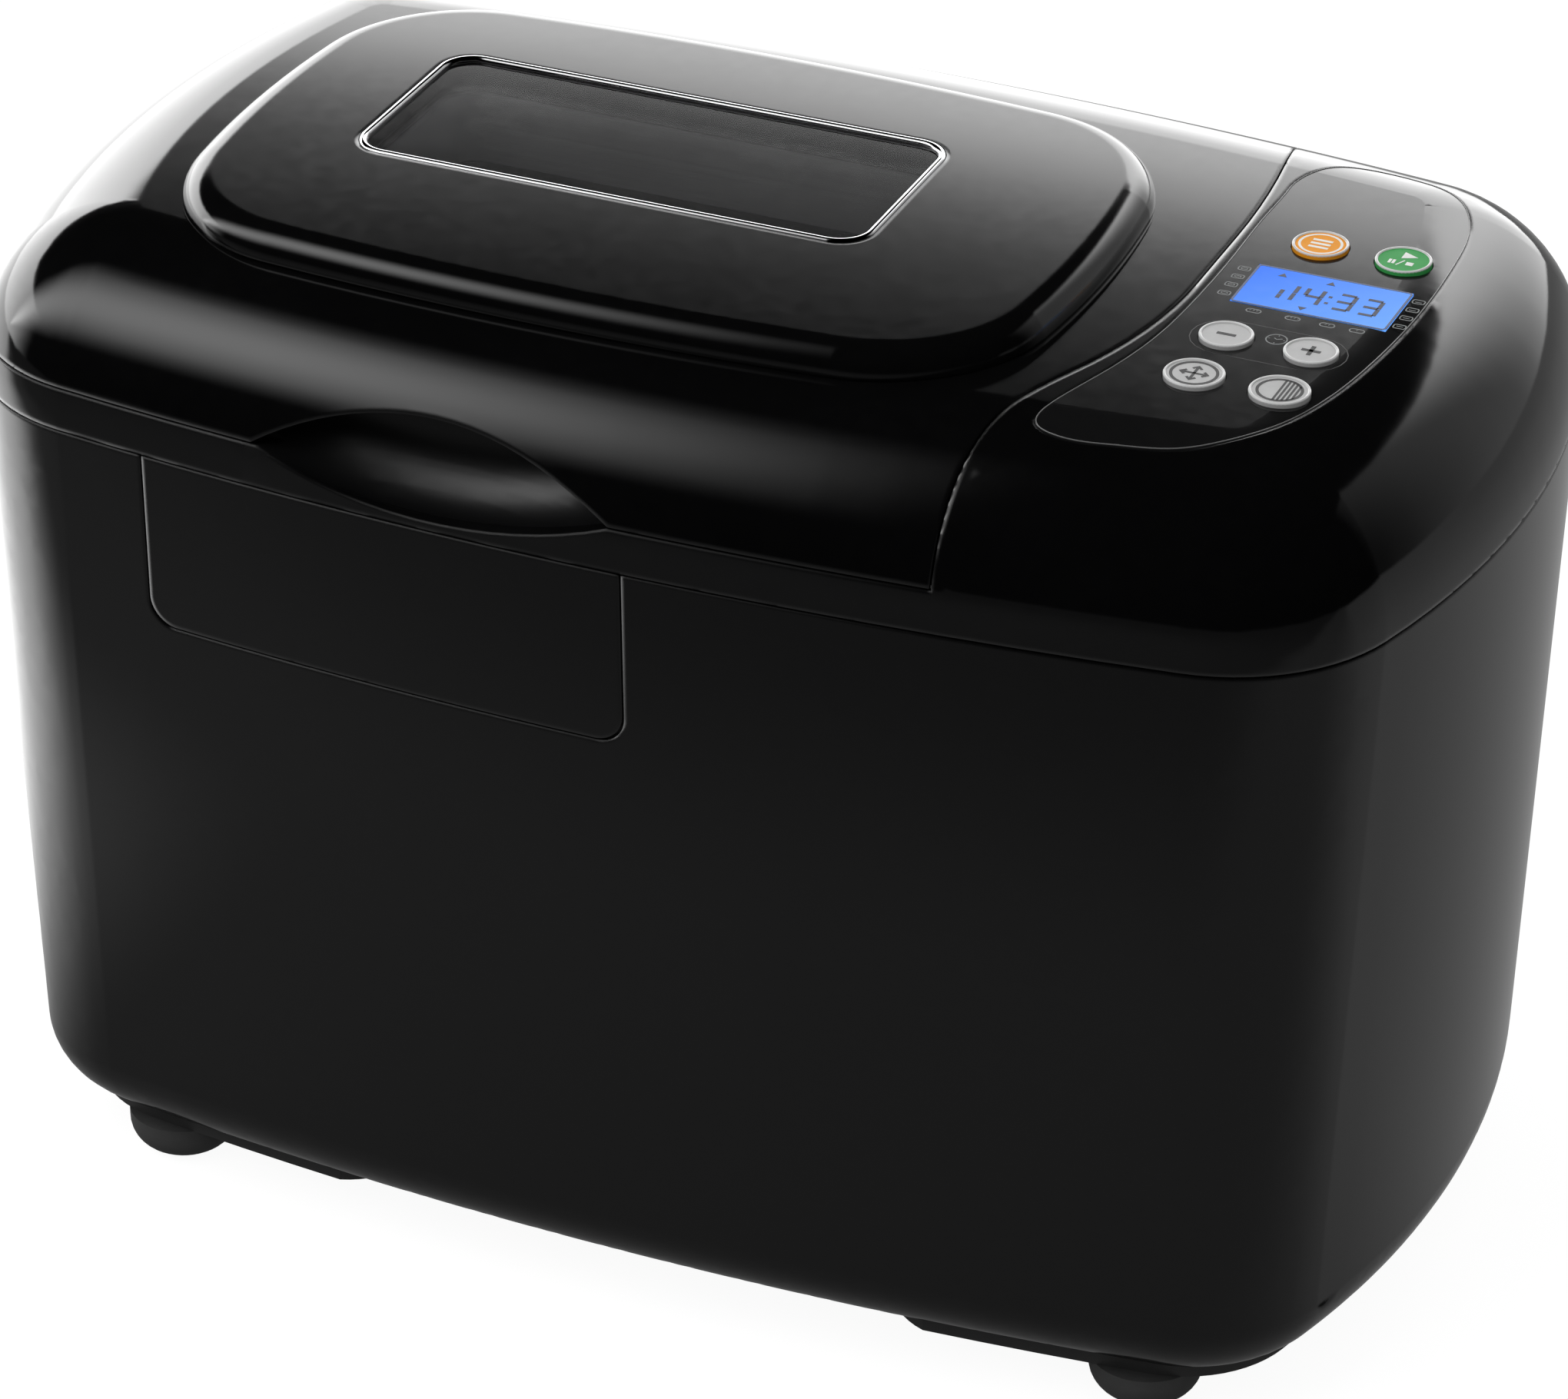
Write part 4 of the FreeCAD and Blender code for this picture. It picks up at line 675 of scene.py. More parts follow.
OUTER_BODY = SubAssembly((
    (BLACK_GLOSS, ("lower_housing", "front_inset_panel")),
    (COLLAR_GLOSS, ("upper_collar",)),
    (BASE_BLACK, ("base_plate",)),
    (FOOT_RUBBER, ("rubber_feet",)),
    (STEEL, ("base_screws",)),
    (BELT_RUBBER, ("cord_gland",)),
))
LID = SubAssembly((
    (BLACK_GLOSS, ("lid_outer_shell", "lid_top_plate")),
    (CHROME, ("window_trim",)),
    (SMOKED, ("window_glass", "inner_window")),
    (LINER_METAL, ("lid_inner_liner",)),
    (STEEL, ("hinge_pins", "liner_screws")),
))
CONTROLS = SubAssembly((
    (FILM_BLACK, ("control_overlay",)),
    (SWITCH_DARK, ("lcd_module", "tact_switches")),
    (CIRCUIT_GREEN, ("control_board",)),
    (KEY_ORANGE, ("button_menu",)),
    (KEY_GREEN, ("button_start",)),
    (KEY_GREY, ("button_minus", "button_plus", "button_size", "button_colour")),
))
CHAMBER_AND_PAN = SubAssembly((
    (LINER_METAL, ("baking_chamber", "element_clips")),
    (SHEATH, ("heating_element",)),
    (BRASS, ("pan_bushes", "temperature_sensor")),
    (PAN_COAT, ("bread_pan", "paddle_left", "paddle_right")),
    (CHROME, ("pan_handle",)),
    (STEEL, ("pan_shaft_left", "pan_shaft_right")),
))
DRIVE = SubAssembly((
    (ZINC, ("drive_chassis", "motor_body")),
    (STEEL, ("drive_shaft_left", "drive_shaft_right", "motor_shaft")),
    (CAST, ("drive_coupling_left", "drive_coupling_right")),
    (PULLEY_NATURAL, ("drive_pulley_left", "drive_pulley_right", "motor_pulley_small")),
    (BELT_RUBBER, ("belt_motor", "belt_paddles")),
    (CIRCUIT_GREEN, ("power_board",)),
))


# Swept and printed pieces


class ProfileKind(Enum):
    """Section that is swept along a path."""

    FLAT = "flat"
    ROUND = "round"


@dataclass(frozen=True)
class Path:
    """A line of points in millimetres, closed into a loop or open."""

    points: tuple[Place, ...]
    closed: bool = False


def polar(centre: Point, reach: float, turn: float) -> Point:
    """Give the point at a distance and a turn from a centre."""
    return centre[0] + reach * math.cos(turn), centre[1] + reach * math.sin(turn)


def circle_path(centre: Point, radius: float, level: float, count: int = 48) -> Path:
    """Give a level circle.

    Args:
        centre: Its middle.
        radius: Its radius.
        level: Its height.
        count: Number of points on it.

    Returns:
        The closed path.
    """
    turns = [2 * math.pi * index / count for index in range(count)]
    return Path(tuple((*polar(centre, radius, turn), level) for turn in turns), True)


def rounded_path(centre: Point, size: Point, corner: float, level: float, steps: int = 8) -> Path:
    """Give a level rectangle with round corners.

    Args:
        centre: Its middle.
        size: Its width and depth.
        corner: Radius of its corners.
        level: Its height.
        steps: Number of steps in each corner.

    Returns:
        The closed path.
    """
    points = []
    for quarter, (side, end) in enumerate(((1, 1), (-1, 1), (-1, -1), (1, -1))):
        middle = (centre[0] + side * (size[0] / 2 - corner), centre[1] + end * (size[1] / 2 - corner))
        for step in range(steps + 1):
            turn = math.pi / 2 * (quarter + step / steps)
            points.append((*polar(middle, corner, turn), level))
    return Path(tuple(points), True)


def line_path(level: float, *points: Point) -> Path:
    """Give an open level line through some points."""
    return Path(tuple((x, y, level) for x, y in points))


class SweepTool:
    """Geometry Nodes that sweep a flat or round section along paths."""

    def __init__(self) -> None:
        """Build the tree of each section."""
        self.trees = {kind: self.build_tree(kind) for kind in ProfileKind}

    @staticmethod
    def build_tree(kind: ProfileKind) -> Nodes:
        """Build the node tree for one kind of section.

        Args:
            kind: The section.

        Returns:
            The tree, with the inputs Paths, Width, Thickness and Finish.
        """
        tree = bpy.data.node_groups.new("swept_" + kind.value, "GeometryNodeTree")
        inputs = (("Paths", "Geometry"), ("Width", "Float"), ("Thickness", "Float"), ("Finish", "Material"))
        for label, sort in inputs:
            tree.interface.new_socket(label, in_out="INPUT", socket_type="NodeSocket" + sort)
        tree.interface.new_socket("Geometry", in_out="OUTPUT", socket_type="NodeSocketGeometry")
        given = tree.nodes.new("NodeGroupInput")
        result = tree.nodes.new("NodeGroupOutput")
        curve = tree.nodes.new("GeometryNodeMeshToCurve")
        upright = tree.nodes.new("GeometryNodeSetCurveNormal")
        upright.mode = "Z_UP"
        sweep = tree.nodes.new("GeometryNodeCurveToMesh")
        sweep.inputs["Fill Caps"].default_value = True
        if kind is ProfileKind.FLAT:
            section = tree.nodes.new("GeometryNodeCurvePrimitiveQuadrilateral")
            tree.links.new(given.outputs["Width"], section.inputs["Width"])
            tree.links.new(given.outputs["Thickness"], section.inputs["Height"])
        else:
            section = tree.nodes.new("GeometryNodeCurvePrimitiveCircle")
            section.inputs["Resolution"].default_value = 12
            (outputs_of(given)["Width"] * 0.5).feed(section.inputs["Radius"])
        smooth = tree.nodes.new("GeometryNodeSetShadeSmooth")
        smooth.inputs["Shade Smooth"].default_value = kind is ProfileKind.ROUND
        whole = tree.nodes.new("GeometryNodeRealizeInstances")
        dress = tree.nodes.new("GeometryNodeSetMaterial")
        links = (
            (given, "Paths", curve, "Mesh"), (curve, "Curve", upright, "Curve"),
            (upright, "Curve", sweep, "Curve"), (section, "Curve", sweep, "Profile Curve"),
            (sweep, "Mesh", smooth, "Geometry"), (smooth, "Geometry", whole, "Geometry"),
            (whole, "Geometry", dress, "Geometry"), (given, "Finish", dress, "Material"),
            (dress, "Geometry", result, "Geometry"))
        for source, output, target, label in links:
            tree.links.new(source.outputs[output], target.inputs[label])
        return tree

    def mesh(self, kind: ProfileKind, paths: Sequence[Path], width: float, thickness: float,
             finish: Finish) -> bpy.types.Mesh:
        """Sweep a section along paths and give the result as a plain mesh.

        Args:
            kind: The section.
            paths: The lines that it follows.
            width: Width of the section in millimetres.
            thickness: Height of a flat section in millimetres.
            finish: Finish of the surface.

        Returns:
            The mesh, in metres.
        """
        points: list[Place] = []
        edges: list[tuple[int, int]] = []
        for path in paths:
            first = len(points)
            points.extend(tuple(value * MM for value in point) for point in path.points)
            edges.extend((index, index + 1) for index in range(first, len(points) - 1))
            if path.closed:
                edges.append((len(points) - 1, first))
        lines = bpy.data.meshes.new("paths")
        lines.from_pydata(points, edges, [])
        holder = bpy.data.objects.new("paths", lines)
        bpy.context.scene.collection.objects.link(holder)
        modifier = holder.modifiers.new("sweep", "NODES")
        modifier.node_group = self.trees[kind]
        values = {"Width": width * MM, "Thickness": thickness * MM, "Finish": PAINT.of(finish)}
        for item in modifier.node_group.interface.items_tree:
            if item.item_type == "SOCKET" and item.in_out == "INPUT" and item.name in values:
                modifier[item.identifier] = values[item.name]
        evaluated = holder.evaluated_get(bpy.context.evaluated_depsgraph_get())
        mesh = bpy.data.meshes.new_from_object(evaluated)
        holder.modifiers.remove(modifier)
        bpy.data.objects.remove(holder)
        bpy.data.meshes.remove(lines)
        return mesh


SWEEP = SweepTool()


def joined(meshes: Sequence[bpy.types.Mesh], finish: Finish) -> bpy.types.Mesh:
    """Join meshes of one finish into one with its faces pointing outwards.

    Args:
        meshes: The meshes, which are used up.
        finish: Their finish.

    Returns:
        The joined mesh.
    """
    form = bmesh.new()
    for mesh in meshes:
        form.from_mesh(mesh)
    bmesh.ops.recalc_face_normals(form, faces=form.faces)
    result = bpy.data.meshes.new("joined")
    form.to_mesh(result)
    form.free()
    result.materials.clear()
    result.materials.append(PAINT.of(finish))
    for mesh in meshes:
        bpy.data.meshes.remove(mesh)
    return result


def round_bead(path: Path, width: float, finish: Finish) -> bpy.types.Mesh:
    """Give a round bead along a path."""
    return joined([SWEEP.mesh(ProfileKind.ROUND, [path], width, width, finish)], finish)


def raised_shapes(outlines: Sequence[Sequence[Point]], level: float, thickness: float) -> bpy.types.Mesh:
    """Make thin flat shapes.

    Args:
        outlines: Corners of each shape in millimetres, anticlockwise.
        level: Height of their underside.
        thickness: Their thickness.

    Returns:
        The mesh, in metres.
    """
    form = bmesh.new()
    for outline in outlines:
        low = [form.verts.new((x * MM, y * MM, level * MM)) for x, y in outline]
        high = [form.verts.new((x * MM, y * MM, (level + thickness) * MM)) for x, y in outline]
        form.faces.new(high)
        form.faces.new(list(reversed(low)))
        for index in range(len(outline)):
            after = (index + 1) % len(outline)
            form.faces.new((low[index], low[after], high[after], high[index]))
    mesh = bpy.data.meshes.new("shapes")
    form.to_mesh(mesh)
    form.free()
    return mesh


def place_piece(name: str, mesh: bpy.types.Mesh, body: Body, replaced: Sequence[str] = ()) -> None:
    """Put a finished piece on its body.

    Args:
        name: Name of the piece.
        mesh: Its mesh, in metres and in place.
        body: Body that it rides on.
        replaced: Nodes of the frame that it stands for.
    """
    mesh.name = name
    piece = bpy.data.objects.new(name, mesh)
    bpy.context.scene.collection.objects.link(piece)
    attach(piece, body.value)
    if replaced:
        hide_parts(*replaced)
    log.info("%s: %d faces", name, len(mesh.polygons))


@dataclass
class Print:
    """Lines and filled shapes of one ink on one level, in millimetres."""

    level: float
    finish: Finish
    thickness: float = 0.08
    corner_steps: int = 5
    lines: dict[float, list[Path]] = field(default_factory=dict)
    shapes: list[tuple[Point, ...]] = field(default_factory=list)

    def draw(self, width: float, path: Path) -> None:
        """Draw any path."""
        self.lines.setdefault(width, []).append(path)

    def line(self, width: float, *points: Point) -> None:
        """Draw an open line."""
        self.draw(width, line_path(self.level, *points))

    def ring(self, width: float, centre: Point, radius: float) -> None:
        """Draw a circle."""
        self.draw(width, circle_path(centre, radius, self.level))

    def frame(self, width: float, centre: Point, size: Point, corner: float) -> None:
        """Draw a rectangle with round corners."""
        self.draw(width, rounded_path(centre, size, corner, self.level, self.corner_steps))

    def fill(self, *corners: Point) -> None:
        """Fill a shape, its corners given anticlockwise."""
        self.shapes.append(corners)

    def mesh(self) -> bpy.types.Mesh:
        """Give all lines and shapes as one mesh.

        Returns:
            The mesh, in metres.
        """
        meshes = [
            SWEEP.mesh(ProfileKind.FLAT, paths, width, self.thickness, self.finish)
            for width, paths in self.lines.items()]
        if self.shapes:
            meshes.append(raised_shapes(self.shapes, self.level - self.thickness / 2, self.thickness))
        return joined(meshes, self.finish)


class Sign(Enum):
    """Sign on a key."""

    BARS = "bars"
    PLAY = "play"
    MINUS = "minus"
    PLUS = "plus"
    ARROWS = "arrows"
    STRIPES = "stripes"


@dataclass(frozen=True)
class Key:
    """One key's rim and sign, in millimetres, with its place taken from its node."""

    node: str
    body: Body
    radius: float
    slot: str
    sign: Sign
    rim: float = 0.9
    rim_out: float = 0.02
    rim_sink: float = 0.12
    sign_lift: float = 0.02

    @property
    def centre(self) -> Point:
        """Middle of the key."""
        return node_middle(self.node)

    def build(self) -> None:
        """Make the rounded rim, whose pale grey is a painted highlight, and the sign."""
        top = node_top(self.node)
        # The rim's pale grey is a painted highlight
        rim = circle_path(self.centre, self.radius - self.rim / 2 + self.rim_out, top - self.rim_sink)
        place_piece(self.node + "_rim", round_bead(rim, self.rim, RIM_HIGHLIGHT), self.body)
        drawings = {
            Sign.BARS: self.draw_bars, Sign.PLAY: self.draw_play, Sign.MINUS: self.draw_minus,
            Sign.PLUS: self.draw_plus, Sign.ARROWS: self.draw_arrows, Sign.STRIPES: self.draw_stripes}
        pale = self.sign in (Sign.BARS, Sign.PLAY)
        ink = Print(top + self.sign_lift, SIGN_WHITE if pale else SIGN_DARK)
        drawings[self.sign](ink)
        place_piece(self.node + "_sign", ink.mesh(), self.body)

    def at(self, x: float, y: float) -> Point:
        """Give a point from its distance to the key's middle, as a share of the radius."""
        return self.centre[0] + x * self.radius, self.centre[1] + y * self.radius

    def draw_bars(self, ink: Print) -> None:
        """Draw a ring with three bars.

        Args:
            ink: Print that gets them.
        """
        ink.ring(0.7, self.centre, 0.74 * self.radius)
        for row in (-0.27, 0.0, 0.27):
            ink.line(1.0, self.at(-0.36, row), self.at(0.36, row))

    def draw_play(self, ink: Print) -> None:
        """Draw a play sign over small pause and stop signs.

        Args:
            ink: Print that gets them.
        """
        ink.fill(self.at(-0.12, 0.08), self.at(0.42, 0.32), self.at(-0.12, 0.58))
        for side in (-0.42, -0.28):
            ink.line(0.75, self.at(side, -0.4), self.at(side, -0.1))
        ink.line(0.4, self.at(-0.14, -0.46), self.at(0.06, -0.04))
        ink.fill(self.at(0.16, -0.36), self.at(0.42, -0.36), self.at(0.42, -0.12), self.at(0.16, -0.12))

    def draw_minus(self, ink: Print) -> None:
        """Draw a minus sign."""
        ink.line(1.15, self.at(-0.36, 0.0), self.at(0.36, 0.0))

    def draw_plus(self, ink: Print) -> None:
        """Draw a plus sign."""
        self.draw_minus(ink)
        ink.line(1.15, self.at(0.0, -0.36), self.at(0.0, 0.36))

    def draw_arrows(self, ink: Print) -> None:
        """Draw a ring with a four-way arrow.

        Args:
            ink: Print that gets them.
        """
        ink.ring(0.8, self.centre, 0.75 * self.radius)
        for x, y in ((1, 0), (0, 1)):
            ink.line(0.75, self.at(-0.4 * x, -0.4 * y), self.at(0.4 * x, 0.4 * y))
        for x, y in ((1, 0), (-1, 0), (0, 1), (0, -1)):
            ink.line(
                0.75, self.at(0.3 * x - 0.15 * y, 0.3 * y - 0.15 * x), self.at(0.47 * x, 0.47 * y),
                self.at(0.3 * x + 0.15 * y, 0.3 * y + 0.15 * x))

    def draw_stripes(self, ink: Print) -> None:
        """Draw a ring whose right half is striped.

        Args:
            ink: Print that gets them.
        """
        ring = 0.72
        ink.ring(0.8, self.centre, ring * self.radius)
        for x in (0.0, 0.14, 0.28, 0.42, 0.56):
            reach = math.sqrt(ring ** 2 - x ** 2)
            ink.line(0.6, self.at(x, -reach), self.at(x, reach))


@dataclass(frozen=True)
class Console:
    """Film outline, keys, display and printed signs, in millimetres."""

    digit_size: Point = (4.2, 8.4)
    small_digit_size: Point = (3.0, 5.2)
    digit_row: float = 0.35
    bar_width: float = 1.15
    bar_gap: float = 0.14
    colon_dot: float = 1.0
    pointer_size: Point = (2.4, 1.9)
    clock: Point = (146.6, -21.2)
    clock_radius: float = 2.7
    timer_outline: float = 18.8
    film_bead: float = 0.36
    film: str = "control_overlay"
    lens: str = "lcd_lens"
    keys: tuple[Key, ...] = (
        Key("button_menu", Body.MENU, 7.5, "key_orange", Sign.BARS),
        Key("button_start", Body.START, 7.5, "key_green", Sign.PLAY),
        Key("button_minus", Body.MINUS, 7.1, "key_grey", Sign.MINUS),
        Key("button_plus", Body.PLUS, 7.1, "key_grey", Sign.PLUS),
        Key("button_size", Body.SIZE, 7.9, "key_grey", Sign.ARROWS),
        Key("button_colour", Body.COLOUR, 7.9, "key_grey", Sign.STRIPES),
    )

    def on_display(self, across: float, down: float) -> Point:
        """Give a point of the display from its shares of the width and of the depth.

        Args:
            across: Share of the width, from the left.
            down: Share of the depth, from the back.

        Returns:
            The point.
        """
        (x, y), (wide, deep) = node_middle(self.lens), node_size(self.lens)
        return x + (across - 0.5) * wide, y + (0.5 - down) * deep

    def dress_lens(self) -> None:
        """Light the display's lens, deepest at its back left corner."""
        low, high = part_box(self.lens)
        reach = high.x - low.x + high.y - low.y
        dress_node(self.lens, DisplayFinish(
            "display_blue", (0.004, 0.16, 0.94), (0.14, 0.39, 1.0), (0.1, 0.2), (low.x, high.y), reach))

    def draw_digit(self, ink: Print, corner: Point, segments: str, size: Point) -> None:
        """Draw one seven-bar digit.

        Args:
            ink: Print that gets it.
            corner: Its upper left corner.
            segments: Letters a to g of the bars that are on.
            size: Its width and height.
        """
        wide, high = size
        ends = {
            "a": ((0, 0), (1, 0)), "b": ((1, 0), (1, 0.5)), "c": ((1, 0.5), (1, 1)), "d": ((0, 1), (1, 1)),
            "e": ((0, 0.5), (0, 1)), "f": ((0, 0), (0, 0.5)), "g": ((0, 0.5), (1, 0.5))}
        for name in segments:
            start, stop = (Vector((corner[0] + x * wide, corner[1] - y * high)) for x, y in ends[name])
            gap = (stop - start).normalized() * self.bar_gap
            ink.line(self.bar_width, tuple(start + gap), tuple(stop - gap))

    def build_display(self) -> None:
        """Make the display's frame, digits and pointers."""
        top = node_top(self.lens)
        rim = Print(top - 0.01, DISPLAY_RIM, 0.12)
        wide, deep = node_size(self.lens)
        rim.frame(0.6, self.on_display(0.5, 0.5), (wide - 0.4, deep - 0.4), 1.0)
        place_piece("display_rim", rim.mesh(), Body.HOUSING)
        ink = Print(top + 0.01, DISPLAY_DARK)
        self.draw_digit(ink, self.on_display(0.25, 0.5), "ef", self.small_digit_size)
        for across, segments in ((0.33, "ef"), (0.398, "bcfg"), (0.603, "abcdg"), (0.772, "abcdg")):
            self.draw_digit(ink, self.on_display(across, self.digit_row), segments, self.digit_size)
        half = self.colon_dot / 2
        for down in (0.47, 0.63):
            x, y = self.on_display(0.551, down)
            ink.fill((x - half, y - half), (x + half, y - half), (x + half, y + half), (x - half, y + half))
        side, rise = self.pointer_size[0] / 2, self.pointer_size[1] / 2
        for across, down, way in ((0.185, 0.155, 1), (0.497, 0.145, 1), (0.437, 0.874, -1)):
            x, y = self.on_display(across, down)
            corners = ((x - side, y - rise * way), (x + side, y - rise * way), (x, y + rise * way))
            ink.fill(*(corners if way > 0 else corners[::-1]))
        place_piece("display_digits", ink.mesh(), Body.HOUSING)

    @staticmethod
    def draw_loaf(ink: Print, centre: Point, cuts: int) -> None:
        """Draw a small loaf with cuts on its top.

        Args:
            ink: Print that gets it.
            centre: Its middle.
            cuts: Number of cuts.
        """
        ink.frame(0.34, centre, (3.9, 1.9), 0.9)
        for index in range(cuts):
            x = centre[0] + (index - (cuts - 1) / 2) * 0.95
            ink.line(0.24, (x - 0.2, centre[1] + 0.05), (x + 0.15, centre[1] + 0.65))

    def draw_clock(self, ink: Print) -> None:
        """Draw a clock between the timer keys.

        Args:
            ink: Print that gets it.
        """
        x, y = self.clock
        ink.ring(0.36, self.clock, self.clock_radius)
        ink.line(0.32, (x - 0.75, y + 0.55), self.clock, (x + 1.4, y + 0.75))
        for quarter in range(4):
            turn = quarter * math.pi / 2
            ink.line(0.26, *(polar(self.clock, reach, turn) for reach in (1.8, 2.25)))

    def build_film_print(self) -> None:
        """Make the small printed signs round the display and the timer keys."""
        ink = Print(node_top(self.film), SIGN_GREY, 0.06)
        for index, down in enumerate((0.17, 0.39, 0.61, 0.84)):
            left = self.on_display(-0.068, down)
            right = self.on_display(1.064, down)
            for middle in (left, right):
                ink.frame(0.3, middle, (3.2, 2.1), 0.6)
            ink.frame(0.22, left, (1.7, 0.8), 0.35)
            ink.line(0.24, *((right[0] + side, right[1] - 0.25 + 0.12 * index) for side in (-0.9, 0.9)))
        for cuts, across in ((3, 0.18), (4, 0.433), (2, 0.655), (1, 0.846)):
            self.draw_loaf(ink, self.on_display(across, 1.135), cuts)
        self.draw_clock(ink)
        place_piece("film_signs", ink.mesh(), Body.HOUSING)
        faint = Print(node_top(self.film), SIGN_FAINT, 0.05)
        minus, plus = node_middle("button_minus"), node_middle("button_plus")
        middle = ((minus[0] + plus[0]) / 2, minus[1])
        deep = self.timer_outline
        faint.frame(0.22, middle, (plus[0] - minus[0] + deep, deep), deep / 2)
        place_piece("timer_outline", faint.mesh(), Body.HOUSING)

    def build_film_edge(self) -> None:
        """Make the fine rounded edge of the film, along its own outline; its light grey is a painted
        highlight.
        """
        form = bmesh.new()
        form.from_mesh(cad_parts[self.film].data)
        bmesh.ops.remove_doubles(form, verts=form.verts, dist=0.00001)
        rim = [
            edge for edge in form.edges
            if len(edge.link_faces) == 2
            and max(face.normal.z for face in edge.link_faces) > 0.5
            and abs(min(face.normal.z for face in edge.link_faces)) < 0.3]
        outline = max(self.chain(rim), key=len)
        path = Path(tuple(tuple(vertex.co / MM) for vertex in outline), True)
        form.free()
        # The bead's light grey is a painted highlight
        bead = round_bead(path, self.film_bead, FILM_EDGE_HIGHLIGHT)
        place_piece("film_edge", bead, Body.HOUSING)

    @staticmethod
    def chain(edges: Sequence[bmesh.types.BMEdge]) -> list[list[bmesh.types.BMVert]]:
        """Put edges that touch into closed rows of corners.

        Args:
            edges: The edges.

        Returns:
            The rows.
        """
        left = set(edges)
        rows = []
        while left:
            edge = left.pop()
            row = list(edge.verts)
            while following := [other for other in row[-1].link_edges if other in left]:
                left.remove(following[0])
                row.append(following[0].other_vert(row[-1]))
            rows.append(row[:-1] if row[0] is row[-1] else row)
        return rows

    def build(self) -> None:
        """Make everything on the console."""
        self.dress_lens()
        for key in self.keys:
            key.build()
        self.build_display()
        self.build_film_print()
        self.build_film_edge()


@dataclass(frozen=True)
class WindowRim:
    """Bright rounded rim of the lid's window, in millimetres, round the flat trim that it stands for."""

    trim: str = "window_trim"
    width: float = 2.2
    corner: float = 10.0
    corner_steps: int = 10

    def build(self) -> None:
        """Make the rim."""
        wide, deep = node_size(self.trim)
        size = (wide - self.width, deep - self.width)
        corner, level = self.corner - self.width / 2, node_top(self.trim) - self.width / 2
        path = rounded_path(node_middle(self.trim), size, corner, level, self.corner_steps)
        bead = round_bead(path, self.width, CHROME)
        place_piece("window_rim", bead, Body.LID, [self.trim])


# Stage


@dataclass(frozen=True)
class Viewpoint:
    """The photograph's camera, in millimetres, degrees and pixels."""

    azimuth: float = 23.76
    elevation: float = 30.03
    distance: float = 1792.07
    target_height: float = 150.0
    focal_pixels: float = 8500.0
    centre: Point = (1016.57, 830.67)
    image: Point = (2040.0, 1820.0)
    sensor: float = 36.0
    clip: Point = (50.0, 50000.0)

    def build(self) -> None:
        """Make the camera and use it."""
        turn, lift = math.radians(self.azimuth), math.radians(self.elevation)
        back = Vector((math.sin(turn) * math.cos(lift), -math.cos(turn) * math.cos(lift), math.sin(lift)))
        data = bpy.data.cameras.new("camera")
        data.sensor_width = self.sensor
        data.lens = self.focal_pixels / self.image[0] * self.sensor
        data.shift_x = (self.image[0] / 2 - self.centre[0]) / self.image[0]
        data.shift_y = (self.centre[1] - self.image[1] / 2) / self.image[0]
        data.clip_start, data.clip_end = (value * MM for value in self.clip)
        camera = bpy.data.objects.new("camera", data)
        camera.location = Vector((0, 0, self.target_height * MM)) + back * self.distance * MM
        camera.rotation_euler = (-back).to_track_quat("-Z", "Y").to_euler()
        bpy.context.scene.collection.objects.link(camera)
        bpy.context.scene.camera = camera


@dataclass(frozen=True)
class SoftBox:
    """One soft studio lamp, in metres and watts, left out of reflections."""

    name: str
    place: Place
    aim: Place
    size: Point
    power: float

    def build(self) -> None:
        """Make the lamp."""
        data = bpy.data.lights.new(self.name, "AREA")
        data.shape = "RECTANGLE"
        data.size, data.size_y = self.size
        data.energy = self.power
        lamp = bpy.data.objects.new(self.name, data)
        lamp.location = self.place
        direction = Vector(self.aim) - Vector(self.place)
        lamp.rotation_euler = direction.to_track_quat("-Z", "Y").to_euler()
        lamp.visible_glossy = False
        bpy.context.scene.collection.objects.link(lamp)


@dataclass(frozen=True)
class Step:
    """Smooth step of a value: where it starts and ends, and its result before and after."""

    low: float
    high: float
    before: float = 0.0
    after: float = 1.0

    def of(self, source: Value) -> Value:
        """Add the step of a value.

        Args:
            source: The value.

        Returns:
            The result.
        """
        node = source.tree.nodes.new("ShaderNodeMapRange")
        node.interpolation_type = "SMOOTHSTEP"
        source.feed(node.inputs["Value"])
        limits = {"From Min": self.low, "From Max": self.high, "To Min": self.before, "To Max": self.after}
        for label, value in limits.items():
            node.inputs[label].default_value = value
        return outputs_of(node)["Result"]


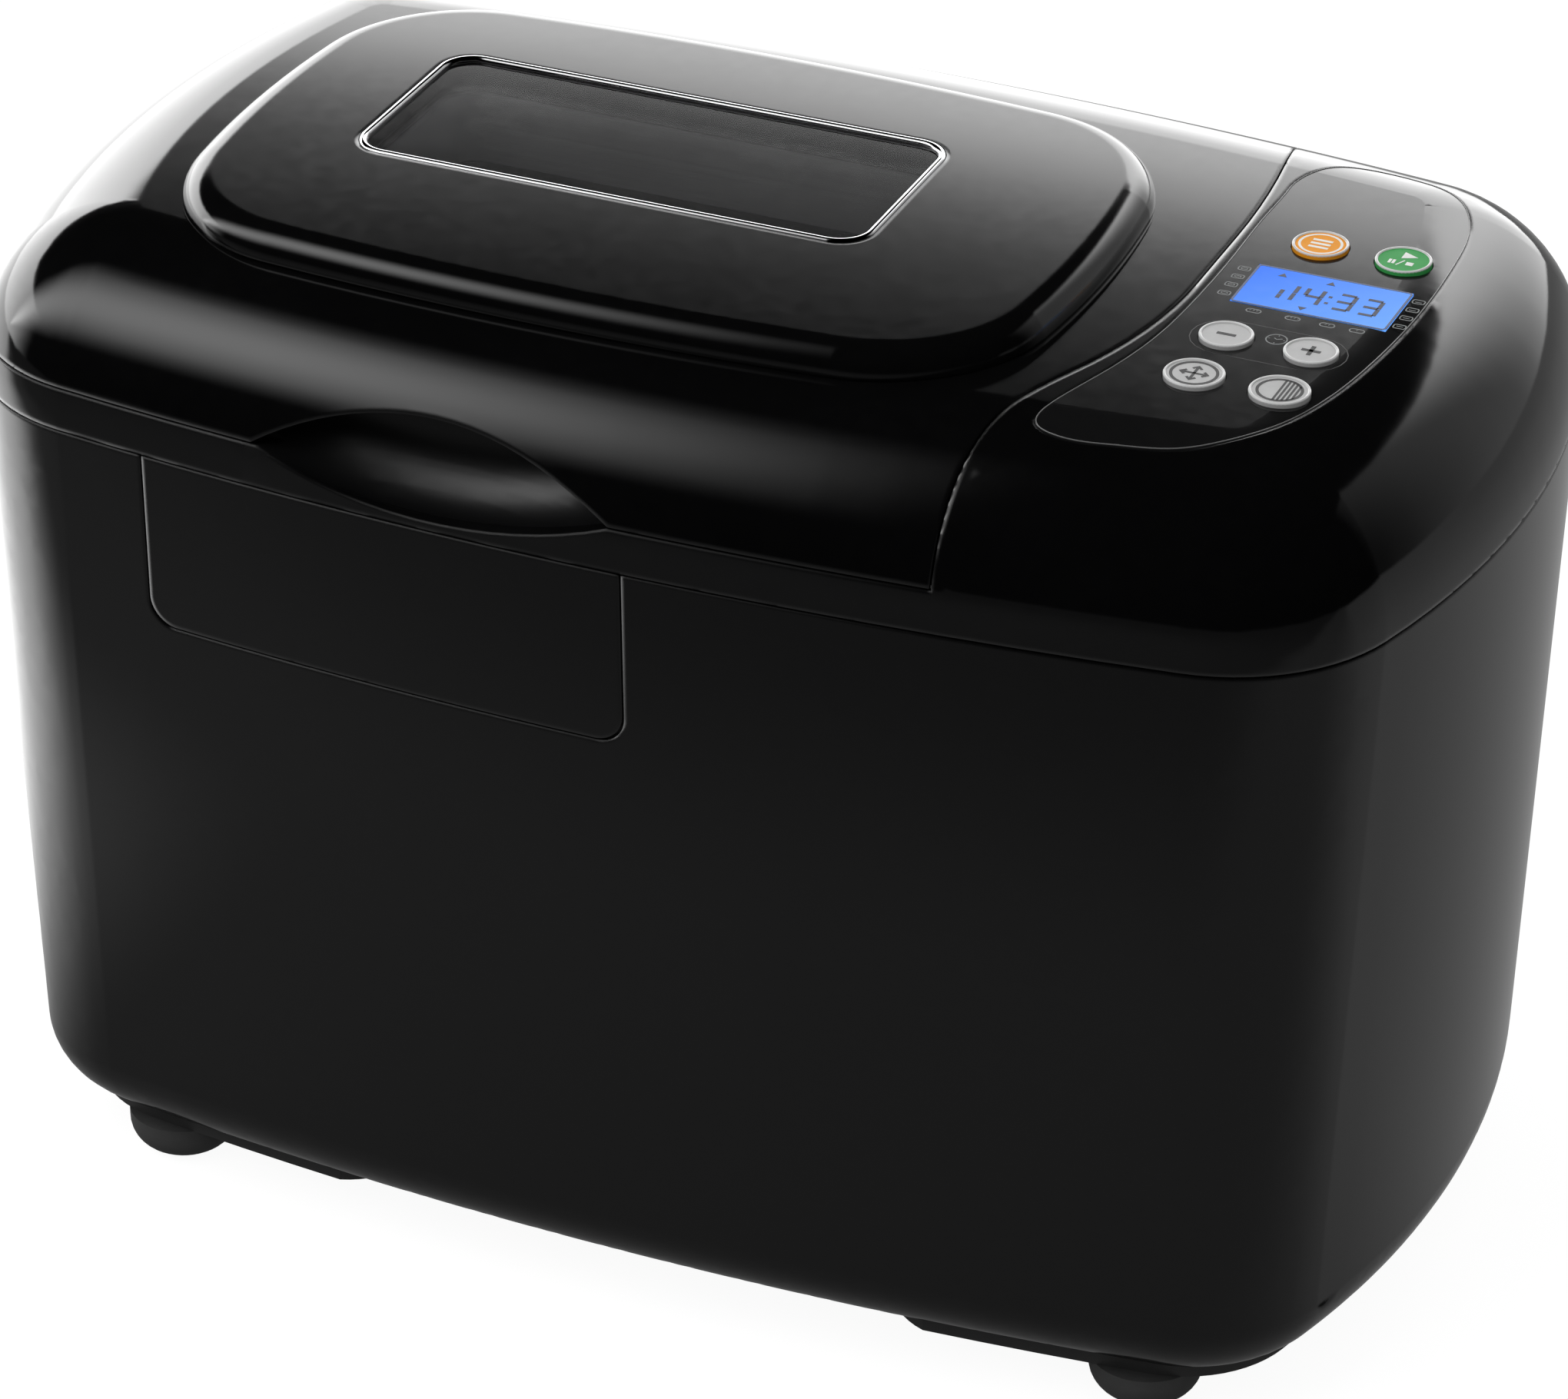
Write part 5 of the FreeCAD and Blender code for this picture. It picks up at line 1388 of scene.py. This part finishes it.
@dataclass(frozen=True)
class Studio:
    """Floor, surroundings and lamps, with the steps of brightness that reflections show."""

    floor_half: float = 6.0
    floor_drop: float = 0.0002
    floor_glow: float = 0.94
    floor_shade: float = 0.14
    floor_roughness: float = 0.9
    floor_beside: Step = Step(-0.16, 0.06, 0.1, 0.24)
    floor_front: Step = Step(-0.5, -0.3)
    floor_left: Step = Step(-0.44, -0.2, 2.3, 0.0)
    floor_left_front: Step = Step(-0.32, -0.12)
    ambient: float = 0.5
    horizon_tilt: float = 0.17
    horizon_turn: float = 0.45
    horizon_edge: Step = Step(0.484, 0.498, 3.784, 0.0)
    horizon_fade: Step = Step(0.485, 0.52, 0.616, 0.0)
    horizon_back: Step = Step(0.0, 0.6)
    horizon_right: Step = Step(-0.1, 0.5, 1.0, 0.1)
    band_lean: float = math.radians(30.0)
    band_fade: Step = Step(math.radians(1.0), math.radians(34.0), 3.4, 0.0)
    band_left: Step = Step(-0.56, -0.2, 1.0, 0.0)
    lamps: tuple[SoftBox, ...] = (
        SoftBox("front_top_box", (-0.55, -0.9, 1.35), (0.0, 0.0, 0.2), (1.3, 0.9), 11.5),
        SoftBox("back_box", (-0.1, 1.25, 0.95), (0.0, 0.0, 0.28), (2.2, 0.7), 6.0),
    )

    @staticmethod
    def ray_kinds(tree: Nodes) -> tuple[Value, Value, Value]:
        """Tell rays apart.

        Args:
            tree: Tree that gets the nodes.

        Returns:
            Masks of the rays straight to the eye, of reflections and of soft light.
        """
        rays = outputs_of(tree.nodes.new("ShaderNodeLightPath"))
        seen = (rays["Is Camera Ray"] + rays["Is Transmission Ray"]).clamped()
        return seen, rays["Is Glossy Ray"], rays["Is Diffuse Ray"]

    def floor_material(self) -> bpy.types.Material:
        """Make the floor's material: white to the eye, stepped to reflections and clear from below.

        Returns:
            The material.
        """
        made = MaterialTree("floor")
        tree = made.tree
        made.shader.inputs["Base Color"].default_value = (*(self.floor_shade,) * 3, 1.0)
        made.shader.inputs["Emission Color"].default_value = (1.0, 1.0, 1.0, 1.0)
        made.set(Roughness=self.floor_roughness, Specular_IOR_Level=0.0)
        x, y, _ = split_place(tree)
        beside = self.floor_beside.of(y) * self.floor_front.of(y)
        left = self.floor_left.of(x) * self.floor_left_front.of(y)
        seen, glossy, _ = self.ray_kinds(tree)
        made.link(seen * self.floor_glow + glossy * (beside + left), "Emission Strength")
        below = outputs_of(tree.nodes.new("ShaderNodeNewGeometry"))["Backfacing"]
        made.link(1.0 - below, "Alpha")
        return made.material

    def build_floor(self) -> None:
        """Make the pale floor, which keeps the object's shadow."""
        half, low = self.floor_half, -self.floor_drop
        mesh = bpy.data.meshes.new("floor")
        corners = [(-half, -half, low), (half, -half, low), (half, half, low), (-half, half, low)]
        mesh.from_pydata(corners, [], [(0, 1, 2, 3)])
        mesh.materials.append(self.floor_material())
        floor = bpy.data.objects.new("floor", mesh)
        bpy.context.scene.collection.objects.link(floor)

    def build_sky(self) -> None:
        """Make the surroundings: white to the eye, a soft horizon and an overhead band to reflections."""
        world = bpy.data.worlds.new("studio")
        bpy.context.scene.world = world
        world.use_nodes = True
        tree = world.node_tree
        background = tree.nodes["Background"]
        background.inputs["Color"].default_value = (1.0, 1.0, 1.0, 1.0)
        x, y, z = split_place(tree, "Generated")
        height = z - x * self.horizon_tilt
        horizon = self.horizon_edge.of(height) + self.horizon_fade.of(height)
        horizon = horizon * self.horizon_back.of(y - x * self.horizon_turn) * self.horizon_right.of(x)
        off = z.maths("ARCTAN2", y * -1.0, z) - self.band_lean
        band = self.band_fade.of(off.maths("ABSOLUTE", off)) * self.band_left.of(x)
        seen, glossy, diffuse = self.ray_kinds(tree)
        light = seen + glossy * (horizon + band) + diffuse * self.ambient
        light.feed(background.inputs["Strength"])

    def build(self) -> None:
        """Make everything around the object."""
        self.build_floor()
        self.build_sky()
        for lamp in self.lamps:
            lamp.build()


def main() -> None:
    """Build the pieces in order."""
    logging.basicConfig(level=logging.INFO, format="%(message)s")
    bpy.context.scene.view_settings.view_transform = "Standard"
    for assembly in (OUTER_BODY, LID, CONTROLS, CHAMBER_AND_PAN, DRIVE):
        assembly.dress()
    Console().build()
    WindowRim().build()
    Viewpoint().build()
    Studio().build()


if __name__ == "__main__":
    main()
